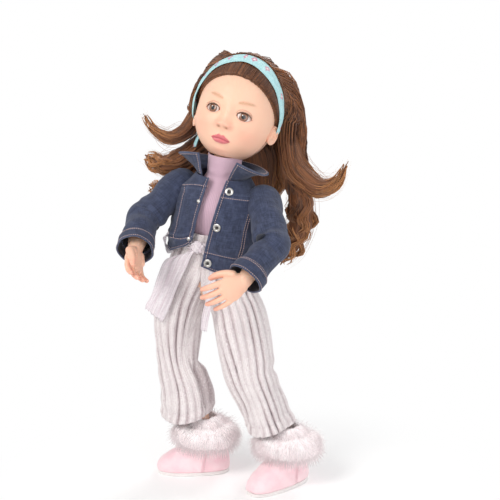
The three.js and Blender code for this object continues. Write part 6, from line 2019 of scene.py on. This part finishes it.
FUR_RINGS, FUR_COLS = 60, 120


def make_fur(side):
    s = SIDES[side]
    B, A = np.meshgrid(steps_round(FUR_RINGS), steps_round(FUR_COLS), indexing="ij")
    lump = 1 + 0.06 * np.sin(3 * A + s) + 0.05 * np.sin(5 * A + 2 * B + s)
    notch = 1 - 0.22 * bell(half_turn(A - 1.5 * pi), 0.22) * np.clip(-np.sin(B), 0, 1)
    r = 24.2 + 13.5 * np.cos(B) * lump * notch
    z = 48.5 + 13 * np.sin(B) * lump - 1.5 * np.sin(A) + 20 * np.clip(-np.cos(B), 0, 1) * (0.7 + 0.3 * np.sin(B))
    tuft = 0.45 * np.sin(31 * A + 2.5 * np.sin(9 * A)) + 0.3 * np.sin(52 * A + 5 * np.sin(3 * B))
    r, z = r + tuft * np.cos(B), z + tuft * np.sin(B)
    P = np.stack([r * np.cos(A), r * np.sin(A) + 0.5, z], -1)
    quads = grid_quads(FUR_RINGS + 1, FUR_COLS, True)[0] % (FUR_RINGS * FUR_COLS)
    points = place(P.reshape(-1, 3), "foot_" + side)
    faces, _ = outward(quads, points)
    tones = 0.5 + 0.5 * np.sin(7 * A + 3 * B)
    core = to_object("fur_core_" + side, points, faces, FUR_GROUND, values={"shade": 0.35 + 0.3 * tones})
    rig.slot(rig.replaces(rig.ride(core, "shin_" + side), "fur_cuff_" + side), "fur_pile")
    for k, (length, density, spread, stand) in enumerate(((0.0105, 5.0e5, 0.26, 0.6), (0.0115, 1.3e5, 0.45, 1.2))):
        base = to_object("fur_base", points, faces, FUR)
        pile = grown("fur_pile_%d_%s" % (k + 1, side), base, PILE_TREE, Density=density, Length=length, Spread=spread,
                     Stand=stand, Seed=3 + k, Material=FUR)
        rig.slot(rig.ride(pile, "shin_" + side), "fur_pile")


FUR_GROUND = fur_finish("fur_ground", 1.0)
BOOT_THREAD = thread_finish("boot_thread", srgb(250, 222, 226))
for side in SIDES:
    make_trousers(side)
    make_boot(side)
    make_fur(side)
make_sash()


# Hands and forearms: a palm, fingers and thumb grown together and smoothed like one moulding

PALM_L, PALM_W, FINGER_L, FINGER_R = 24, 30, 27, 3.35


def make_hand(side):
    s, p = SIDES[side], STANCE[side]
    curl = np.array(turn("X", -p["curl"]) @ turn("Y", p["lean"]) @ turn("Z", -42 if s > 0 else -12))[:3, :3]
    wrist = np.array([0, 0, -FOREARM])
    at = lambda *v: curl @ np.array(v, float) + wrist
    parts, nails = [], []

    def limb(path, radii, start, sides=28):
        path, radii = spline(path, 26), spline(np.array([r if np.ndim(r) else (r, r) for r in radii], float), 26)
        # Rounded ends
        a, b = unit(path[0] - path[1]), unit(path[-1] - path[-2])
        grow = [(cos(t), sin(t)) for t in np.radians([80, 55, 28])]
        head = [(path[0] + a * radii[0].min() * sn, radii[0] * c) for c, sn in grow]
        tail = [(path[-1] + b * radii[-1].min() * sn, radii[-1] * c) for c, sn in grow[::-1]]
        path = np.array([h[0] for h in head] + list(path) + [t[0] for t in tail])
        radii = np.array([h[1] for h in head] + list(radii) + [t[1] for t in tail])
        parts.append(tube(path, radii, sides, start))
        return path
    x_axis = curl @ [1, 0, 0]
    limb([[0, 0, -14], [0, 0, -26], [0, 0, -38], [0, 0, -47], at(0, 0, 0)],
         [(8.8, 8.8), (10.4, 10.4), (10.2, 10.2), (9.2, 8.8), (8.8, 7.6)], [1, 0, 0], 40)
    limb([at(0, 0, 3), at(0, 0, -5), at(0, 0.4, -12), at(0, 0.2, -18), at(0, -0.8, -PALM_L)],
         [(8.4, 7.0), (10.6, 6.6), (13.4, 6.0), (14.4, 5.4), (13.4, 4.4)], x_axis, 40)
    # Ball of the thumb and the heel of the hand
    limb([at(s * 5, -2.6, -3), at(s * 9, -3.8, -9), at(s * 10, -3.4, -15)], [4.6, 5.4, 4.0], x_axis)
    limb([at(-s * 7.5, -2, -4), at(-s * 9.4, -2.2, -13)], [4.4, 4.2], x_axis)
    order = [3, 2, 1, 0] if s > 0 else [0, 1, 2, 3]
    long_of, spread = [0.92, 1.06, 1.0, 0.8], [0.26, 0.08, -0.1, -0.3]
    for i in range(4):
        x = (i - 1.5) * (PALM_W / 4.1)
        k = order[i]
        long = FINGER_L * long_of[k] * (1 if s > 0 else 0.84)
        bend = [0.12, 0.26, 0.36, 0.44][k] * 1.1 if s > 0 else 0.2 + 0.03 * k
        fan = s * spread[k] * (0.58 if s > 0 else 0.3)
        r = FINGER_R * [1.0, 1.02, 0.98, 0.88][k]
        path = [at(x * 0.92, -0.3, -PALM_L + 7)]
        for t in (0.15, 0.4, 0.7, 1.0):
            path.append(at(x + fan * long * t, -0.4 - long * bend * t * t * 1.6 - 0.2, -PALM_L + 3
                           - long * t * (1 - 0.12 * t)))
        done = limb(path, [r, r * 1.03, r * 0.98, r * 0.93, r * 0.74], x_axis)
        tip, before = done[-5], done[-12]
        nails.append((tip, unit(tip - before), unit(curl @ [fan * 0.3, 1, 0.25 + bend]), r * 0.8))
    t0 = at(s * 11, -2.6, -7)
    out = curl @ unit(np.array([s * 0.5, -0.55, -0.67] if s > 0 else [-0.25, -0.5, -0.85]))
    along = curl @ np.array([0, -0.1, -1.0])
    path = [t0, t0 + out * 6, t0 + out * 11 + along * 2, t0 + out * 14 + along * 6, t0 + out * 15 + along * 11]
    done = limb(path, [4.9, 4.5, 4.2, 3.9, 2.9], curl @ [0, 1, 0])
    tip, before = done[-5], done[-12]
    nails.append((tip, unit(tip - before), unit(curl @ [s * 0.9, 0.3, 0.3]), 3.1))

    points, faces, first = [], [], 0
    for R in parts:
        quads = grid_quads(*R.shape[:2], True)[0]
        pts, *caps = capped(R)
        q, _ = outward(quads, pts)
        flip = (q[0] != quads[0]).any()
        faces += [[int(v) + first for v in f] for f in q]
        for cap in caps:
            faces += [[int(v) + first for v in (f[::-1] if flip else f)] for f in cap]
        points.append(pts)
        first += len(pts)
    rough = to_object("hand_rough", place(np.concatenate(points), "forearm_" + side), faces, VINYL)
    melt = rough.modifiers.new("melt", "REMESH")
    melt.mode, melt.voxel_size = "VOXEL", 0.0006
    ease = rough.modifiers.new("ease", "SMOOTH")
    ease.factor, ease.iterations = 0.5, 7
    mesh = frozen(rough, "hand_" + side)
    mesh.materials.clear()
    mesh.materials.append(VINYL)
    mesh.shade_smooth()
    # Moulded creases at the finger joints and a flush at the finger tips
    co = np.empty(len(mesh.vertices) * 3, np.float32)
    mesh.vertices.foreach_get("co", co)
    p_local = local(co.reshape(-1, 3), "forearm_" + side)
    tips = np.array([n[0] for n in nails])
    near = np.linalg.norm(p_local[:, None] - tips[None], axis=2).min(1)
    blush = 0.5 * bell(near, 6) + 0.12 * (p_local[:, 2] < -FOREARM)
    mesh.attributes.new("blush", "FLOAT", "POINT").data.foreach_set("value", blush.astype(np.float32))
    hand = linked("hand_" + side, mesh)
    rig.slot(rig.ride(hand, "forearm_" + side), "vinyl_skin")
    rings = []
    for tip, direction, up, r in nails:
        across = unit(np.cross(direction, up))
        up = unit(np.cross(across, direction))
        lat, lon = np.linspace(-pi / 2 + 0.08, pi / 2 - 0.08, 16), steps_round(28)
        LAT, LON = np.meshgrid(lat, lon, indexing="ij")
        c = tip + up * (r * 0.62) - direction * 0.6
        rings.append(c
                     + np.cos(LAT)[..., None] * (np.cos(LON)[..., None] * direction * 2.5
                                                 + np.sin(LON)[..., None] * across * r * 0.72)
                     + (np.sin(LAT) * r * 0.42)[..., None] * up)
    for i, R in enumerate(rings):
        nail = closed_loft("nail_%d_%s" % (i + 1, side), place(R, "forearm_" + side), VINYL,
                           {"blush": np.full(R.shape[:2], 0.45)})
        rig.slot(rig.ride(nail, "forearm_" + side), "vinyl_skin")
    return hand


for side in SIDES:
    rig.replaces(make_hand(side), "forearm_hand_" + side)
    # The inner end of the forearm, a flat tongue round the elbow pin
    t = steps_round(64)
    rings = [np.stack([np.full(64, x), r * np.cos(t), r * np.sin(t)], -1) for x, r in
             ((-3.5, 5), (-3.5, 8.2), (-3.1, 8.8), (0, 8.9), (3.1, 8.8), (3.5, 8.2), (3.5, 5))]
    R = np.array(rings)
    tongue = closed_loft("elbow_tongue_" + side, place(R, "forearm_" + side), VINYL)
    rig.slot(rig.ride(tongue, "forearm_" + side), "vinyl_skin")


# The model's own hidden pieces get the same finishes

OWN = {"torso_shell": VINYL, "neck_ball": VINYL, "shoulder_hub": VINYL, "hip_hub": VINYL, "upper_arm": VINYL,
       "thigh": VINYL, "shin": VINYL,
       "elbow_pin": PIN, "knee_pin": PIN}
for name, obj in frame["nodes"].items():
    for key, material in OWN.items():
        if name.startswith(key):
            for own_slot in obj.material_slots:
                own_slot.link = "OBJECT"
                own_slot.material = material


# Camera, floor and light

def seen_ray(s):
    """1 for what the camera sees, also by way of a mirror or glass."""
    path = s.tree.nodes.new("ShaderNodeLightPath").outputs
    return s.math("MAXIMUM", path["Is Camera Ray"],
                  s.math("MAXIMUM", path["Is Glossy Ray"], path["Is Transmission Ray"]))


def make_stage():
    right, up = Vector((0.91576, 0.40080, -0.02715)), Vector((-0.06485, 0.21420, 0.97463))
    ahead = up.cross(right).normalized()
    camera = linked("camera", bpy.data.cameras.new("camera"))
    camera.data.lens, camera.data.sensor_width = 89.886, 36
    camera.data.clip_start, camera.data.clip_end = 0.05, 20
    camera.matrix_world = Matrix((right, up, -ahead)).transposed().to_4x4()
    camera.location = HIP_MIDDLE * MM + Vector((0.60492, -1.25045, 0.35279))
    bpy.context.scene.camera = camera

    m, s, shader = finish_of("studio_floor", (1, 1, 1, 1), 0.9, Specular_IOR_Level=0.1)
    far = s.node("VectorMath", {0: s.node("TexCoord", out="Object")}, out="Value", operation="LENGTH")
    blend_far = s.times(s.ramp(far, 0.06, 0.3), seen_ray(s))
    glow = s.node("Emission", {"Color": (1, 1, 1, 1), "Strength": 1.0})
    mixed = s.node("MixShader", {0: blend_far, 1: shader.outputs[0], 2: glow})
    m.node_tree.links.new(mixed, m.node_tree.nodes["Material Output"].inputs[0])
    mesh = bpy.data.meshes.new("floor")
    mesh.from_pydata([(-6, -6, 0), (6, -6, 0), (6, 6, 0), (-6, 6, 0)], [], [(0, 1, 2, 3)])
    mesh.materials.append(m)
    floor = linked("floor", mesh)
    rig.stage(floor)

    world = bpy.data.worlds.new("studio")
    bpy.context.scene.world = world
    world.use_nodes = True
    s = Sheet(world.node_tree)
    background = world.node_tree.nodes["Background"]
    background.inputs["Color"].default_value = (1, 1, 1, 1)
    s.tree.links.new(s.times_plus(seen_ray(s), 1 - WORLD_LIGHT, WORLD_LIGHT), background.inputs["Strength"])

    def lamp(name, at, aim, size, power, color=(1, 1, 1)):
        light = bpy.data.lights.new(name, "AREA")
        light.energy, light.size, light.color = power, size, color
        o = linked(name, light)
        o.location = at
        o.rotation_euler = (Vector(aim) - Vector(at)).to_track_quat("-Z", "Y").to_euler()
    middle = (0, 0, 0.28)
    lamp("key", (-0.5, -1.5, 1.5), middle, 0.9, 21, (1.0, 0.985, 0.965))
    lamp("fill", (1.6, -0.9, 0.7), middle, 1.2, 9, (0.97, 0.985, 1.0))
    lamp("back", (0.3, 1.5, 1.3), middle, 1.0, 12)


WORLD_LIGHT = 0.55
make_stage()
bpy.context.scene.view_settings.view_transform = "Standard"

with open("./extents.json", "w") as file:
    json.dump({"cad": [list(v) for v in CAD_BOX], "visual": [list(v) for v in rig.bounds()]}, file)
